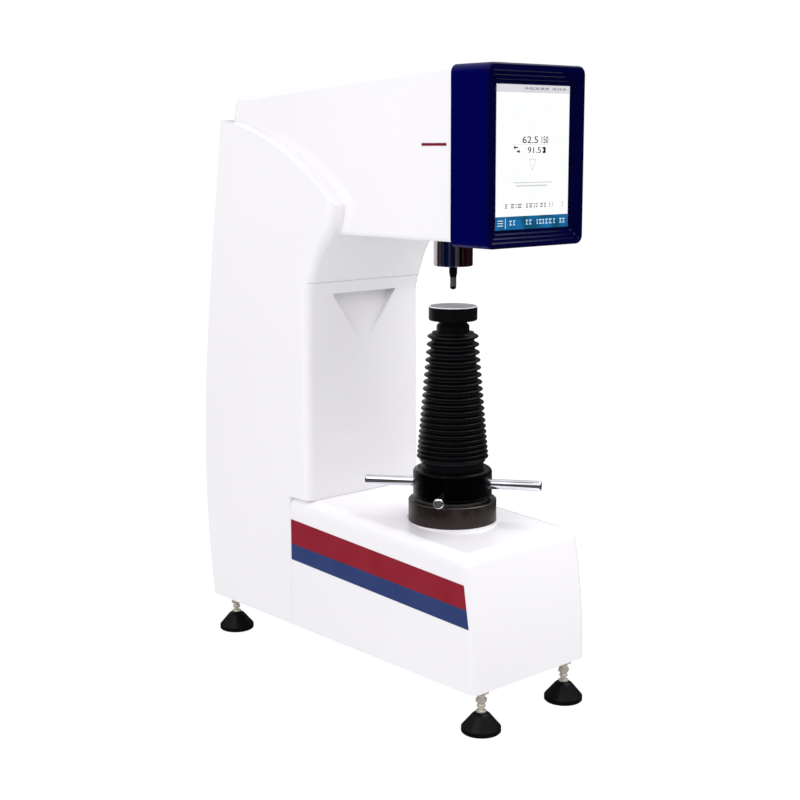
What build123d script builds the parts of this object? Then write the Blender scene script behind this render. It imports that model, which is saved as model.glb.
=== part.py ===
"""Motor-driven Rockwell-type bench hardness tester whose anvil is raised by a capstan nut.

Millimetres, +Z up, the front of the machine faces -Y.  Everything is laid out from the spindle axis
(x = 0, y = 0) and the table (z = 0), and set() moves it so that the origin is under the middle of the
footprint.  Each sub-part has its own function and is written to parts/NODE.step.
"""
from build123d import *
import math
import os

# ---------------------------------------------------------------- fits and clearances
RUN = 0.05            # radial running clearance of a shaft in its bore
SEAT = 0.3            # gap between a soft or cast piece and the face that carries it
NEAR = 1e-3           # how close an edge lies to a plane to count as on it
REACH = 10.0          # how far a cut runs past the face it breaks through
HEX = 6               # sides of a bolt head or nut
HEX_ROUND = math.sqrt(3)   # width across flats of a hexagon over its corner radius
SEAM = 0.4            # visible seam between two casing shells

# ---------------------------------------------------------------- casing
WALL = 5.0            # casing wall
BODY_HALF = 98.0      # half width of base and column
BODY_BOTTOM = 53.0    # underside of the casing above the table
BASE_FRONT = -139.0   # front face of the base at its foot
BASE_FRONT_MID = (-136.0, 127.0)
BASE_FRONT_TOP = -122.0
BASE_LEVEL_Y = 160.0   # behind this the top of the base is level
BASE_TOP_FRONT = 217.0
BASE_TOP_REAR = 229.0
BASE_SEAM_Y = 208.0   # where the base shell meets the column shell
BASE_EDGE = 16.0      # rounding of the base's top edges
BASE_CORNER = 9.0     # rounding of the base's front corners
COLUMN_FRONT = 168.0  # throat wall
COLUMN_REAR_TOP = 345.0
COLUMN_REAR_MID = 403.0
COLUMN_REAR_MID_Z = 217.0
COLUMN_REAR_FOOT = 389.0
BACK_MID = (389.0, 434.0)
BACK_STEPS = 8
LEAN_STEP = 4.0       # half the height over which the back's lean is taken
COVE_START_Z = 488.0
COVE_POINTS = [(160.0, 519.0), (141.0, 558.0), (117.0, 590.0)]
COVE_STEPS = 8
COVE_TIP_Y = 112.5
COVE_LEAN = 0.2
COVE_TIP_Z = 614.0
SHOULDER_IN = 20.0    # how far the head is narrower than the column on each side
SHOULDER_DROP = 12.5
COLUMN_FRONT_EDGE = 12.0
RELIEF_HALF = 66.0    # three-cornered relief in the throat wall
RELIEF_TOP = 514.0
RELIEF_APEX = 423.0
RELIEF_DEPTH = 16.0

HEAD_HALF = BODY_HALF - SHOULDER_IN
HEAD_UNDERSIDE = 577.0
HEAD_FRONT = -78.0
HEAD_TOP_FRONT = 775.0
HEAD_TOP_REAR = 748.0
HEAD_STEP = 28.0       # how far the column's shoulder ends below the head's rear top
HEAD_REAR_CORNER = 15.0
HEAD_REAR_LEAN = 6.0   # how far the head's back leans in to its top
HEAD_EDGE = 5.0
COLUMN_TOP = HEAD_TOP_REAR - HEAD_STEP
SHOULDER_BOW = 0.66    # height of the shoulder's middle, as a share of its whole rise
SHOULDER_MID = (222.0, COVE_TIP_Z + (COLUMN_TOP - COVE_TIP_Z) * SHOULDER_BOW)

# ---------------------------------------------------------------- display bezel
BEZEL_HALF = 80.0
BEZEL_BOTTOM = 571.5
BEZEL_TOP = 775.8
BEZEL_DEPTH = 59.8
BEZEL_CORNER = 10.0
BEZEL_WALL = 4.0
BEZEL_RIM = 3.0
SCREEN_W = 122.0
SCREEN_SILL = 19.9    # bezel below the screen
SCREEN_BROW = 22.4    # bezel above the screen
SCREEN_BOTTOM = BEZEL_BOTTOM + SCREEN_SILL
SCREEN_H = BEZEL_TOP - SCREEN_BROW - SCREEN_BOTTOM
SCREEN_RECESS = 7.6   # glass behind the bezel's rim
DISH_MARGINS = (14.0, 9.4, 4.8)   # how far each step of the dish starts outside the screen
DISH_SLOPE = 1.6      # how far each step leans in
DISH_CORNER = 2.5
GLASS_T = 1.6
LCD_T = 8.0
BOARD_HALF = 45.0
BOARD_T = 1.8
DISPLAY_CHIPS = ((-20.0, 12.0, 10.0), (18.0, -14.0, 7.0), (22.0, 22.0, 5.0))   # x, z, half width

# ---------------------------------------------------------------- stripes and marks
STRIPE_T = 1.0
STRIPE_PROUD = 0.4
STRIPE_REAR = 206.0
STRIPE_FRONT = -121.0
STRIPE_FRONT_SLANT = 8.0
STRIPE_REAR_TOP = 199.0
STRIPE_REAR_SPLIT = 166.0
STRIPE_REAR_BOTTOM = 144.0
STRIPE_FRONT_TOP = 184.0
STRIPE_FRONT_SPLIT = 155.0
STRIPE_FRONT_BOTTOM = 132.0
MARK_FRONT = -69.0
MARK_LENGTH = 41.0
MARK_Z = 687.0
MARK_H = 2.0

# ---------------------------------------------------------------- cast frame
BED_T = 15.0
BED_RISE = 1.5        # underside of the bed above the casing's lower edge
BOSS_R = 46.0
RIB_REACH = 84.0
RIB_T = 12.0
RIB_TOP = 150.0
RIB_SHOULDER = 8.0
RIB_ANGLES = (45.0, 135.0, 225.0, 315.0)
FRAME_HALF = 74.0
FRAME_FRONT = 182.0
FRAME_REAR = 322.0
FRAME_WALL = 14.0
FRAME_RISE = 30.0
FRAME_SETBACK = 12.0   # the upright steps back behind the relief in the throat wall
ARM_HALF = 60.0
ARM_H = 66.0
ARM_FRONT = -68.0
ARM_POCKET_FRONT = 42.0
BOLT_R = 6.0
BOLT_HEAD_R = 10.2
BOLT_HEAD_H = 7.2

# ---------------------------------------------------------------- elevating screw group
SCREW_R = 19.0
SCREW_BOTTOM = 116.0
KEY_W = 6.0
KEY_DEPTH = 4.0
KEY_LENGTH = 36.0
KEYWAY_TOP = 325.0
GUIDE_R = 55.3
GUIDE_BOTTOM = 223.0
GUIDE_TOP = 249.8
GUIDE_NECK_R = 34.0
GUIDE_NECK_BOTTOM = 158.0
RIM_R = 57.0
THRUST_R = 45.0
NUT_BOTTOM = 252.0
NUT_TOP = 289.3
NUT_R = 49.6
NUT_EDGE = 5.5
BAR_COUNT = 4
BAR_R = 6.3
BAR_TIP = 2.8
BAR_REACH = 112.0
BAR_Z = 269.4
BAR_PHASE = 37.4
BAR_SOCKET = 32.0
CUFF_LOW_R = 39.0
CUFF_LOW_TOP = 298.0
BELLOWS_LOW_R = 45.8
BELLOWS_HIGH_R = 31.2
BELLOWS_BOTTOM = 299.0
BELLOWS_TOP = 460.0
BELLOWS_FOLDS = 20
BELLOWS_FOLD_DEPTH = 5.2
BELLOWS_WALL = 1.8
CUFF_HIGH_R = 20.3
CUFF_HIGH_TOP = 470.0
CUFF_HIGH_EDGE = 2.0
ANVIL_R = 30.0
ANVIL_BOTTOM = 474.8
ANVIL_TOP = 492.5
ANVIL_NECK_R = 17.4
ANVIL_SPIGOT_R = 9.0
ANVIL_SPIGOT = 30.0
ANVIL_EDGE = 1.2

# ---------------------------------------------------------------- spindle and drive
NOSE_R = 24.0
NOSE_BOTTOM = 541.4
NOSE_BORE_R = 14.0
NOSE_LIP = 4.0
BUSH_R = 20.0
SPINDLE_R = 11.0
SPINDLE_BOTTOM = 552.0
CHUCK_R = 5.0
CHUCK_BOTTOM = 527.5
CHUCK_SOCKET = 14.0
STEM_R = 3.7
STEM_BORE = 8.0
TIP_Z = 512.3
TIP_R = 1.2
INDENTER_CONE = 5.0
CELL_R = 24.0
CELL_GAP = 12.0
CELL_RIM = 4.0
CELL_WAIST = 4.0
CELL_H = 22.0
CROSSHEAD_H = 18.0
PILLAR_R = 6.0
PILLAR_X = 44.0
DRIVE_PLATE_Z = 727.0
DRIVE_PLATE_T = 9.0
LEAD_SCREW_R = 8.0
LEAD_SCREW_ENTRY = 6.0
BEARING_R = 15.0
TOOTH_PITCH = 5.0
MOTOR_PILOT_R = 19.0
PULLEY_T = 12.0
SCREW_PULLEY_R = 24.0
MOTOR_PULLEY_R = 12.0
MOTOR_Y = 104.0
MOTOR_HALF = 28.0
MOTOR_H = 70.0
MOTOR_SHAFT_R = 4.0
BELT_T = 1.6
ENCODER_HALF = 11.0
ENCODER_H = 58.0
SCALE_T = 4.0

# ---------------------------------------------------------------- feet
FOOT_X = 73.0
FOOT_FRONT = -126.0
FOOT_REAR = 372.0
PAD_R = 24.0
PAD_RIM = 6.0
PAD_H = 24.6
PAD_TOP_R = 7.0
PAD_SHOULDER = (2.0, 2.4)      # in, up
PAD_NECK = (4.0, 3.0)          # out, down
STUD_R = 5.0
STUD_TOP = 82.0
COLLAR_AF = 14.0
COLLAR_H = 6.0
LOCK_AF = 16.0
LOCK_H = 6.5
SOCKET_R = 5.6
SOCKET_FLOOR = 9.0

# ---------------------------------------------------------------- rear panel and electronics
COVER_HALF = 72.0
COVER_T = 2.2
COVER_BED = 0.1
COVER_LIP = 8.0
COVER_SCREW_ROWS = 4
COVER_SCREW_MARGIN = 7.0
COVER_SCREW_R = 3.6
COVER_SCREW_H = 2.4
COVER_BOTTOM = 170.0
COVER_TOP = COLUMN_TOP - 80.0
IO_Z = 108.0
IO_HALF_X = 58.0
IO_HALF_Z = 26.0
IO_FACE_Y = 391.0
IO_PLATE_T = 2.0
SWITCH_X = 34.0
SWITCH_W = 21.0
SWITCH_H = 27.0
SWITCH_D = 18.0
ROCKER_W = 15.0
ROCKER_H = 20.0
ROCKER_AXIS_Y = 388.0
ROCKER_ROOT = 8.0
ROCKER_RISE = 5.0
ROCKER_DISH = 1.4
ROCKER_THROW = 16.0
ROCKER_ROOT_HALF = 3.0
PSU_D = 52.0
PSU_H = 150.0
PSU_SLOTS = 8
PSU_SLOT_PITCH = 8.0
PSU_SLOT_W = 3.0
PSU_SLOT_START = 12.0
PSU_SLOT_SHARE = 0.7           # of the case's width
PSU_MARGIN = 6.0
STANDOFF = 8.0
BOARD_Z = 380.0
BOARD_TALL = 80.0
BOARD_CHIPS = ((-22.0, 30.0, 9.0, 6.0), (16.0, 36.0, 12.0, 12.0), (20.0, -30.0, 14.0, 9.0),
               (-20.0, -34.0, 8.0, 14.0))   # x, z, half width, height
POST_R = 3.0
POST_INSET = 5.0
INLET_W = 27.0
INLET_H = 20.0
INLET_D = 16.0
INLET_LIP = 3.0
INLET_WALL = 2.0
INLET_FLOOR = 3.0
INLET_PINS = ((-6.0, -2.0), (0.0, 3.0), (6.0, -2.0))   # x, z
PIN_HALF = (1.0, 2.0)
PORT_X = -34.0
PORT_W = 20.0
PORT_H = 9.0
PORT_D = 8.0
PORT_LIP = (2.5, 2.0)
PORT_WALL = 1.5
PORT_PROUD = 4.0
PLATE_LIP = 1.5                # thickness of a socket's or switch's flange

Y_FRONT = FOOT_FRONT - PAD_R
Y_REAR = COLUMN_REAR_MID
ORIGIN_Y = (Y_FRONT + Y_REAR) / 2


# ================================================================ helpers
def write(name, shape):
    """Move a finished piece, solid by solid, from the spindle axis to the part's origin and write it."""
    moved = [Pos(0, -ORIGIN_Y, 0) * solid for solid in shape.solids()]
    export_step(moved[0] if len(moved) == 1 else group(moved), f"parts/{name}.step")


def group(solids):
    """Several separate solids as one compound."""
    return Compound(children=list(solids))


def side_polygon(points):
    """A polygon given as (y, z) points."""
    return Plane.YZ * make_face(Polyline(*points, close=True))


def across(face, half):
    """Extrude a side outline both ways across the machine."""
    return extrude(face, half, both=True)


def disc(radius, bottom, top, x=0.0, y=0.0):
    """An upright cylinder between two heights."""
    height = top - bottom
    return Pos(x, y, bottom) * Cylinder(radius, height, align=(Align.CENTER, Align.CENTER, Align.MIN))


def block(x0, x1, y0, y1, z0, z1):
    """A box between two corners."""
    corner = (Align.MIN, Align.MIN, Align.MIN)
    return Pos(x0, y0, z0) * Box(x1 - x0, y1 - y0, z1 - z0, align=corner)


def turned(points):
    """Revolve a closed (radius, height) outline about the spindle axis."""
    return revolve(Plane.XZ * make_face(Polyline(*points, close=True)), Axis.Z)


# ================================================================ casing shells
def inset_spline(curve, inset, count):
    """A smooth curve parallel to another one, moved to its left by the inset."""
    points = []
    for step in range(count + 1):
        share = step / count
        along = curve % share
        points.append(curve @ share + Vector(-along.Y, along.X) * inset)
    return Spline(*points)


def behind_throat():
    """The throat's line from the sill up through the cove."""
    return Spline((COLUMN_FRONT, COVE_START_Z), *COVE_POINTS, (COVE_TIP_Y, COVE_TIP_Z),
                  tangents=((0, 1), (-COVE_LEAN, 1)))


def back_curve():
    """The bulging back, from its foot up to the head."""
    mid = (COLUMN_REAR_MID, COLUMN_REAR_MID_Z)
    return Spline((COLUMN_REAR_FOOT, BODY_BOTTOM), mid, BACK_MID, (COLUMN_REAR_TOP, COLUMN_TOP))


def column_outline(inset=0.0):
    """Side outline of the column: throat wall, cove, falling shoulder and bulging back."""
    seam = BASE_SEAM_Y + SEAM + inset
    step = BASE_TOP_REAR + SEAM + inset
    throat = inset_spline(behind_throat(), -inset, COVE_STEPS)
    back = inset_spline(back_curve(), inset, BACK_STEPS)
    front = COLUMN_FRONT + inset
    foot = back @ 0
    top = throat @ 1 + Vector(0, COVE_TIP_Y)
    rear_top = back @ 1
    lower = Polyline((foot.X, foot.Y), (seam, foot.Y), (seam, step), (front, step), (front, COVE_START_Z))
    tip = throat @ 1
    upper = Polyline((tip.X, tip.Y), (top.X, top.Y), (rear_top.X, top.Y), (rear_top.X, rear_top.Y))
    arc = ThreePointArc((COVE_TIP_Y, COVE_TIP_Z), SHOULDER_MID, (COLUMN_REAR_TOP, COLUMN_TOP))
    under_shoulder = Pos(arc.arc_center.X, arc.arc_center.Y) * Circle(arc.radius - inset)
    return Plane.YZ * (make_face(lower + throat + upper + back) & under_shoulder)


def column_block(inset=0.0, rounded=True):
    """The column as a solid, its shoulder edges sloped down to the sides, its front uprights rounded."""
    half = BODY_HALF - inset
    body = across(column_outline(inset), half)
    for shoulder in body.edges().filter_by(GeomType.CIRCLE):
        side = [f for f in body.faces() if f.normal_at().X ** 2 > 0.9 and shoulder in f.edges()]
        body = chamfer(shoulder, SHOULDER_DROP, SHOULDER_IN, reference=side[0])
    if not rounded:
        return body
    front = [e for e in body.edges() if is_upright(e, half) and e.center().Y < COLUMN_FRONT + inset + 1]
    return fillet(front, COLUMN_FRONT_EDGE - inset)


def is_upright(edge, half):
    """True for a long straight upright edge on either side of the column."""
    at_side = abs(abs(edge.center().X) - half) < NEAR
    return at_side and edge.geom_type == GeomType.LINE and edge.length > COLUMN_FRONT


def relief(grow=0.0):
    """The three-cornered relief in the throat wall: deepest along its top, nothing at its apex."""
    half = RELIEF_HALF + grow
    top = RELIEF_TOP + grow
    apex = RELIEF_APEX - 2 * grow
    corners = Polyline((-half, top), (half, top), (0, apex), close=True)
    prism = extrude(Plane.XZ * make_face(corners), -(COLUMN_FRONT + RELIEF_DEPTH + grow))
    wedge = side_polygon([(COLUMN_FRONT - 1, apex), (COLUMN_FRONT - 1, top),
                          (COLUMN_FRONT + RELIEF_DEPTH + grow, top)])
    return prism & across(wedge, half)


def head_polygon(inset=0.0):
    """Side outline of the head, down through the column, which is cut from it afterwards."""
    low = HEAD_UNDERSIDE + inset
    rear = COLUMN_REAR_TOP - inset
    points = [(HEAD_FRONT, low), (HEAD_FRONT, HEAD_TOP_FRONT - inset)]
    points += [(rear - HEAD_REAR_LEAN, HEAD_TOP_REAR - inset), (rear, COLUMN_TOP), (rear, low)]
    return side_polygon(points)


def head_void():
    """The room inside the head shell, open to the bezel in front and to the column below."""
    room = across(head_polygon(WALL), HEAD_HALF - WALL)
    mouth = block(WALL - HEAD_HALF, HEAD_HALF - WALL, HEAD_FRONT - 1, HEAD_FRONT + 1,
                  HEAD_UNDERSIDE + WALL, HEAD_TOP_FRONT - WALL)
    return room + mouth


def arm_passage():
    """The opening in the column's shoulder and cove that the arm and the wiring pass through."""
    half = ARM_HALF + 2
    return block(-half, half, COVE_TIP_Y - REACH, COLUMN_REAR_TOP - 2 * REACH, HEAD_UNDERSIDE + WALL,
                 HEAD_TOP_REAR - WALL)


def rear_slab(half, bottom, top):
    """A slab through the column's back wall."""
    return block(-half, half, COLUMN_REAR_TOP - REACH - 2, COLUMN_REAR_MID + REACH, bottom, top)


def io_recess(grow=0.0):
    """The flat-bottomed recess for the socket plate, low on the column's back."""
    floor = IO_FACE_Y - IO_PLATE_T - grow
    half_x = IO_HALF_X + grow
    half_z = IO_HALF_Z + grow
    return block(-half_x, half_x, floor, COLUMN_REAR_MID + REACH, IO_Z - half_z, IO_Z + half_z)


def column_casing():
    """Column shell: open below, towards the base, over the arm, and behind the rear cover."""
    inner = BODY_HALF - WALL
    void = column_block(WALL) - relief(WALL) - io_recess(WALL)
    below = block(-inner, inner, BASE_SEAM_Y, COLUMN_REAR_FOOT - WALL, BODY_BOTTOM - 1,
                  BODY_BOTTOM + WALL + 2)
    ahead = block(-inner, inner, BASE_SEAM_Y, BASE_SEAM_Y + 2 * WALL, BODY_BOTTOM - 1, BASE_TOP_REAR - WALL)
    shell = column_block() - void - below - ahead - arm_passage() - upright_passage() - relief() - io_recess()
    shell -= rear_slab(COVER_HALF - COVER_LIP, COVER_BOTTOM + COVER_LIP, COVER_TOP - COVER_LIP)
    skin = rear_slab(COVER_HALF + SEAM, COVER_BOTTOM - SEAM, COVER_TOP + SEAM)
    skin -= column_block(COVER_T + COVER_BED, rounded=False)
    shell -= skin
    half_x = IO_HALF_X - COVER_LIP
    half_z = IO_HALF_Z - COVER_LIP
    shell -= block(-half_x, half_x, IO_FACE_Y - 4 * WALL, IO_FACE_Y, IO_Z - half_z, IO_Z + half_z)
    groove = block(-BODY_HALF, BODY_HALF, COLUMN_FRONT - 2 * WALL, COLUMN_FRONT, RELIEF_TOP,
                   RELIEF_TOP + SEAM)
    return shell - groove


def rear_cover():
    """Curved service cover lying flush in the rebate of the column's back."""
    sheet = column_block(rounded=False) - column_block(COVER_T, rounded=False)
    return (sheet & rear_slab(COVER_HALF, COVER_BOTTOM, COVER_TOP)).solids()[0]


def cover_screws():
    """Low round screw heads along both edges of the rear cover."""
    heads = []
    step = (COVER_TOP - COVER_BOTTOM - 2 * COVER_SCREW_MARGIN) / (COVER_SCREW_ROWS - 1)
    for row in range(COVER_SCREW_ROWS):
        height = COVER_BOTTOM + COVER_SCREW_MARGIN + row * step
        for x in (-COVER_HALF + COVER_SCREW_MARGIN, COVER_HALF - COVER_SCREW_MARGIN):
            at = Pos(x, back_y(height), height) * Rot(-90 - back_lean(height), 0, 0)
            heads.append(at * Pos(0, 0, COVER_SCREW_H / 2 + SEAT / 2) * screw_head())
    return group(heads)


def screw_head():
    """A cheese head with a rounded rim."""
    head = Cylinder(COVER_SCREW_R, COVER_SCREW_H)
    return fillet(head.edges().filter_by(GeomType.CIRCLE).sort_by(Axis.Z)[-1], COVER_SCREW_H / 3)


def back_y(height):
    """The y at which the column's back outline crosses a height."""
    line = Edge.make_line((0, COLUMN_REAR_TOP - 3 * REACH, height), (0, COLUMN_REAR_MID + 3 * REACH, height))
    return max(v.Y for v in (column_outline() & line).vertices())


def back_lean(height):
    """The back's lean from upright at a height, in degrees."""
    return math.degrees(math.atan2(back_y(height + LEAN_STEP) - back_y(height - LEAN_STEP), 2 * LEAN_STEP))


def base_block(inset=0.0):
    """The base as a solid: leaning front face, gently falling top, rounded edges."""
    half = BODY_HALF - inset
    front_low = (BASE_FRONT + inset, BODY_BOTTOM)
    front_mid = (BASE_FRONT_MID[0] + inset, BASE_FRONT_MID[1])
    front_top = (BASE_FRONT_TOP + inset, BASE_TOP_FRONT - inset)
    level = BASE_TOP_REAR - inset
    front = ThreePointArc(front_low, front_mid, front_top)
    rest = Polyline(front_top, (BASE_LEVEL_Y, level), (BASE_SEAM_Y, level), (BASE_SEAM_Y, BODY_BOTTOM),
                    front_low)
    body = across(Plane.YZ * make_face(front + rest), half)
    top_edges = [e for e in body.edges()
                 if e.center().Z > BASE_TOP_FRONT - inset - 1 and e.center().Y < BASE_SEAM_Y - 2]
    body = fillet([e for e in top_edges if not is_crossing(e)], BASE_EDGE - inset)
    corners = [e for e in body.edges()
               if e.center().Y < BASE_FRONT_TOP and abs(abs(e.center().X) - half) < NEAR
               and e.center().Z < BASE_TOP_FRONT - BASE_EDGE - REACH]
    return fillet(corners, BASE_CORNER - inset)


def is_crossing(edge):
    """True for the crease across the base's top, where it turns level."""
    return abs(edge.center().X) < 1 and edge.center().Y > 0


def base_casing():
    """Base shell: open below and behind, with the level seat of the screw guide in its top."""
    inner = BODY_HALF - WALL
    void = base_block(WALL)
    below = block(-inner, inner, BASE_FRONT + WALL, BASE_SEAM_Y + 1, BODY_BOTTOM - 1, BODY_BOTTOM + 1)
    behind = block(-inner, inner, BASE_SEAM_Y - 1, BASE_SEAM_Y + 1, BODY_BOTTOM - 1, BASE_TOP_REAR - WALL)
    shell = base_block() - void - (below & base_foot()) - behind
    shell += disc(RIM_R, GUIDE_BOTTOM - 2 * WALL, GUIDE_BOTTOM)
    shell -= disc(RIM_R, GUIDE_BOTTOM, GUIDE_BOTTOM + 2 * WALL)
    shell -= disc(BOSS_R + SEAT, BODY_BOTTOM, GUIDE_BOTTOM + WALL)
    return shell - upright_passage() - stripe_pockets()


def upright_passage():
    """The opening through the top of the base and the sill of the column for the cast upright."""
    half = FRAME_HALF + 1
    return block(-half, half, FRAME_FRONT - 1, BASE_SEAM_Y + 3 * WALL, BODY_BOTTOM, BASE_TOP_REAR + 2 * WALL)


def base_foot():
    """The base's inner outline, a little below its lower edge."""
    return Pos(0, 0, -1) * extrude(base_block(WALL).faces().sort_by(Axis.Z)[0], 2, both=True)


def stripe_face(rear_low, rear_high, front_low, front_high):
    """One band of the side stripe as a (y, z) outline."""
    return side_polygon([(STRIPE_REAR, rear_low), (STRIPE_REAR, rear_high),
                         (stripe_front_y(front_high), front_high), (stripe_front_y(front_low), front_low)])


def stripe_front_y(height):
    """The stripe's slanting front end."""
    share = (STRIPE_FRONT_TOP - height) / (STRIPE_FRONT_TOP - STRIPE_FRONT_BOTTOM)
    return STRIPE_FRONT - share * STRIPE_FRONT_SLANT


def stripe_panels(face):
    """A band on each side of the base, let into the shell and standing slightly proud."""
    plate = extrude(face, STRIPE_T)
    out = BODY_HALF + STRIPE_PROUD - STRIPE_T
    return [Pos(out, 0, 0) * plate, Pos(-out - STRIPE_T, 0, 0) * plate]


def stripe_pockets():
    """The shallow pockets that both bands lie in."""
    face = stripe_face(STRIPE_REAR_BOTTOM, STRIPE_REAR_TOP, STRIPE_FRONT_BOTTOM, STRIPE_FRONT_TOP)
    return stripe_panels(face)


def red_stripes():
    """The upper bands."""
    face = stripe_face(STRIPE_REAR_SPLIT, STRIPE_REAR_TOP, STRIPE_FRONT_SPLIT, STRIPE_FRONT_TOP)
    return group(stripe_panels(face))


def blue_stripes():
    """The lower bands."""
    return group(stripe_panels(
        stripe_face(STRIPE_REAR_BOTTOM, STRIPE_REAR_SPLIT, STRIPE_FRONT_BOTTOM, STRIPE_FRONT_SPLIT)))


def mark_plates():
    """The thin level plate let into each side of the head."""
    face = side_polygon([(MARK_FRONT, MARK_Z - MARK_H / 2), (MARK_FRONT, MARK_Z + MARK_H / 2),
                         (MARK_FRONT + MARK_LENGTH, MARK_Z + MARK_H / 2),
                         (MARK_FRONT + MARK_LENGTH, MARK_Z - MARK_H / 2)])
    plate = extrude(face, STRIPE_T)
    out = HEAD_HALF + STRIPE_PROUD - STRIPE_T
    return [Pos(out, 0, 0) * plate, Pos(-out - STRIPE_T, 0, 0) * plate]


def head_marks():
    """Both marks."""
    return group(mark_plates())


def head_casing():
    """Head shell: closed over the top, sides and back, with the spindle's hole below."""
    body = across(head_polygon(), HEAD_HALF)
    crown = [e for e in body.edges() if abs(e.center().X) < 1
             and e.center().Z > HEAD_TOP_REAR - 1 and e.center().Y > COLUMN_FRONT]
    body = fillet(crown, HEAD_REAR_CORNER)
    sides = [e for e in body.edges()
             if abs(abs(e.center().X) - HEAD_HALF) < NEAR and e.center().Y > HEAD_FRONT + 1]
    body = fillet(sides, HEAD_EDGE)
    shell = body - column_block() - head_void()
    return shell - disc(NOSE_R + SEAT, HEAD_UNDERSIDE - 1, HEAD_UNDERSIDE + WALL + 1) - mark_plates()


# ================================================================ display
def bezel():
    """Deep moulded display surround, stepped down to the screen."""
    y_front = HEAD_FRONT - BEZEL_DEPTH
    height = BEZEL_TOP - BEZEL_BOTTOM
    middle = (BEZEL_TOP + BEZEL_BOTTOM) / 2
    outline = Pos(0, middle) * RectangleRounded(2 * BEZEL_HALF, height, BEZEL_CORNER)
    body = extrude(Plane.XZ * outline, BEZEL_DEPTH)
    body = Pos(0, HEAD_FRONT, 0) * body
    rim = [e for e in body.edges() if abs(e.center().Y - y_front) < NEAR]
    body = fillet(rim, BEZEL_RIM)
    hollow = Pos(0, middle) * RectangleRounded(2 * (BEZEL_HALF - BEZEL_WALL), height - 2 * BEZEL_WALL,
                                               BEZEL_CORNER - BEZEL_WALL)
    depth = BEZEL_DEPTH - SCREEN_RECESS - GLASS_T - BEZEL_WALL
    body -= Pos(0, HEAD_FRONT + 1, 0) * extrude(Plane.XZ * hollow, depth + 1)
    screen_z = SCREEN_BOTTOM + SCREEN_H / 2
    step = SCREEN_RECESS / len(DISH_MARGINS)
    for count, margin in enumerate(DISH_MARGINS):
        mouth_y = y_front + count * step
        low = margin - DISH_SLOPE
        mouth = RectangleRounded(SCREEN_W + 2 * margin, SCREEN_H + 2 * margin, DISH_CORNER)
        floor = RectangleRounded(SCREEN_W + 2 * low, SCREEN_H + 2 * low, DISH_CORNER)
        body -= loft([Plane.XZ.offset(-(mouth_y + step)) * Pos(0, screen_z) * floor,
                      Plane.XZ.offset(-mouth_y) * Pos(0, screen_z) * mouth])
    body -= block(-SCREEN_W / 2, SCREEN_W / 2, y_front, HEAD_FRONT, SCREEN_BOTTOM, SCREEN_BOTTOM + SCREEN_H)
    return body


def touch_glass():
    """Cover glass filling the bezel's window."""
    y_front = HEAD_FRONT - BEZEL_DEPTH + SCREEN_RECESS
    half = SCREEN_W / 2 - RUN
    return block(-half, half, y_front, y_front + GLASS_T, SCREEN_BOTTOM + RUN, SCREEN_BOTTOM + SCREEN_H - RUN)


def lcd_module():
    """Display panel behind the glass, bearing on the bezel's inner face."""
    y_front = HEAD_FRONT - BEZEL_DEPTH + SCREEN_RECESS + GLASS_T + BEZEL_WALL
    half = SCREEN_W / 2 + BEZEL_WALL
    body = block(-half, half, y_front, y_front + LCD_T, SCREEN_BOTTOM - BEZEL_WALL,
                 SCREEN_BOTTOM + SCREEN_H + BEZEL_WALL)
    step = block(-SCREEN_W / 2 + RUN, SCREEN_W / 2 - RUN, y_front - BEZEL_WALL, y_front,
                 SCREEN_BOTTOM + RUN, SCREEN_BOTTOM + SCREEN_H - RUN)
    return body + step


def display_board():
    """Controller board on the back of the display panel, with its chips and sockets."""
    y_front = HEAD_FRONT - BEZEL_DEPTH + SCREEN_RECESS + GLASS_T + BEZEL_WALL + LCD_T
    middle = SCREEN_BOTTOM + SCREEN_H / 2
    board = block(-BOARD_HALF, BOARD_HALF, y_front, y_front + BOARD_T, middle - BOARD_HALF,
                  middle + BOARD_HALF)
    for x, z, half in DISPLAY_CHIPS:
        board += block(x - half, x + half, y_front + BOARD_T, y_front + 2 * BOARD_T, middle + z - half,
                       middle + z + half)
    return board


# ================================================================ cast frame
BED_BOTTOM = BODY_BOTTOM + BED_RISE
BED_TOP = BED_BOTTOM + BED_T
BED_HALF = BODY_HALF - WALL - SEAT
ARM_BOTTOM = HEAD_UNDERSIDE + WALL + SEAT
ARM_TOP = ARM_BOTTOM + ARM_H


def bed_frame():
    """Cast bed: ribbed plate with the tall boss that carries the screw guide."""
    front = BASE_FRONT + WALL + 2 * SEAT
    rear = COLUMN_REAR_FOOT - WALL - 2 * SEAT
    bed = block(-BED_HALF, BED_HALF, front, rear, BED_BOTTOM, BED_TOP)
    bed = chamfer([e for e in bed.edges().filter_by(Axis.Z) if e.center().Y < 0], BASE_CORNER)
    for angle in RIB_ANGLES:
        rib = block(0, RIB_REACH, -RIB_T / 2, RIB_T / 2, BED_TOP, RIB_TOP)
        rib = chamfer(rib.edges().filter_by(Axis.Y).group_by(Axis.X)[-1].sort_by(Axis.Z)[-1],
                      RIB_REACH - BOSS_R - RIB_SHOULDER)
        bed += Rot(0, 0, angle) * rib
    bed += disc(BOSS_R, BED_BOTTOM, GUIDE_BOTTOM)
    bed -= disc(SCREW_R + 2, BED_BOTTOM, GUIDE_BOTTOM)
    bed -= disc(GUIDE_NECK_R + RUN, GUIDE_NECK_BOTTOM - SEAT, GUIDE_BOTTOM)
    for x, y in foot_places():
        bed -= disc(STUD_R + RUN, BED_BOTTOM, BED_TOP, x, y)
    return bed


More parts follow.
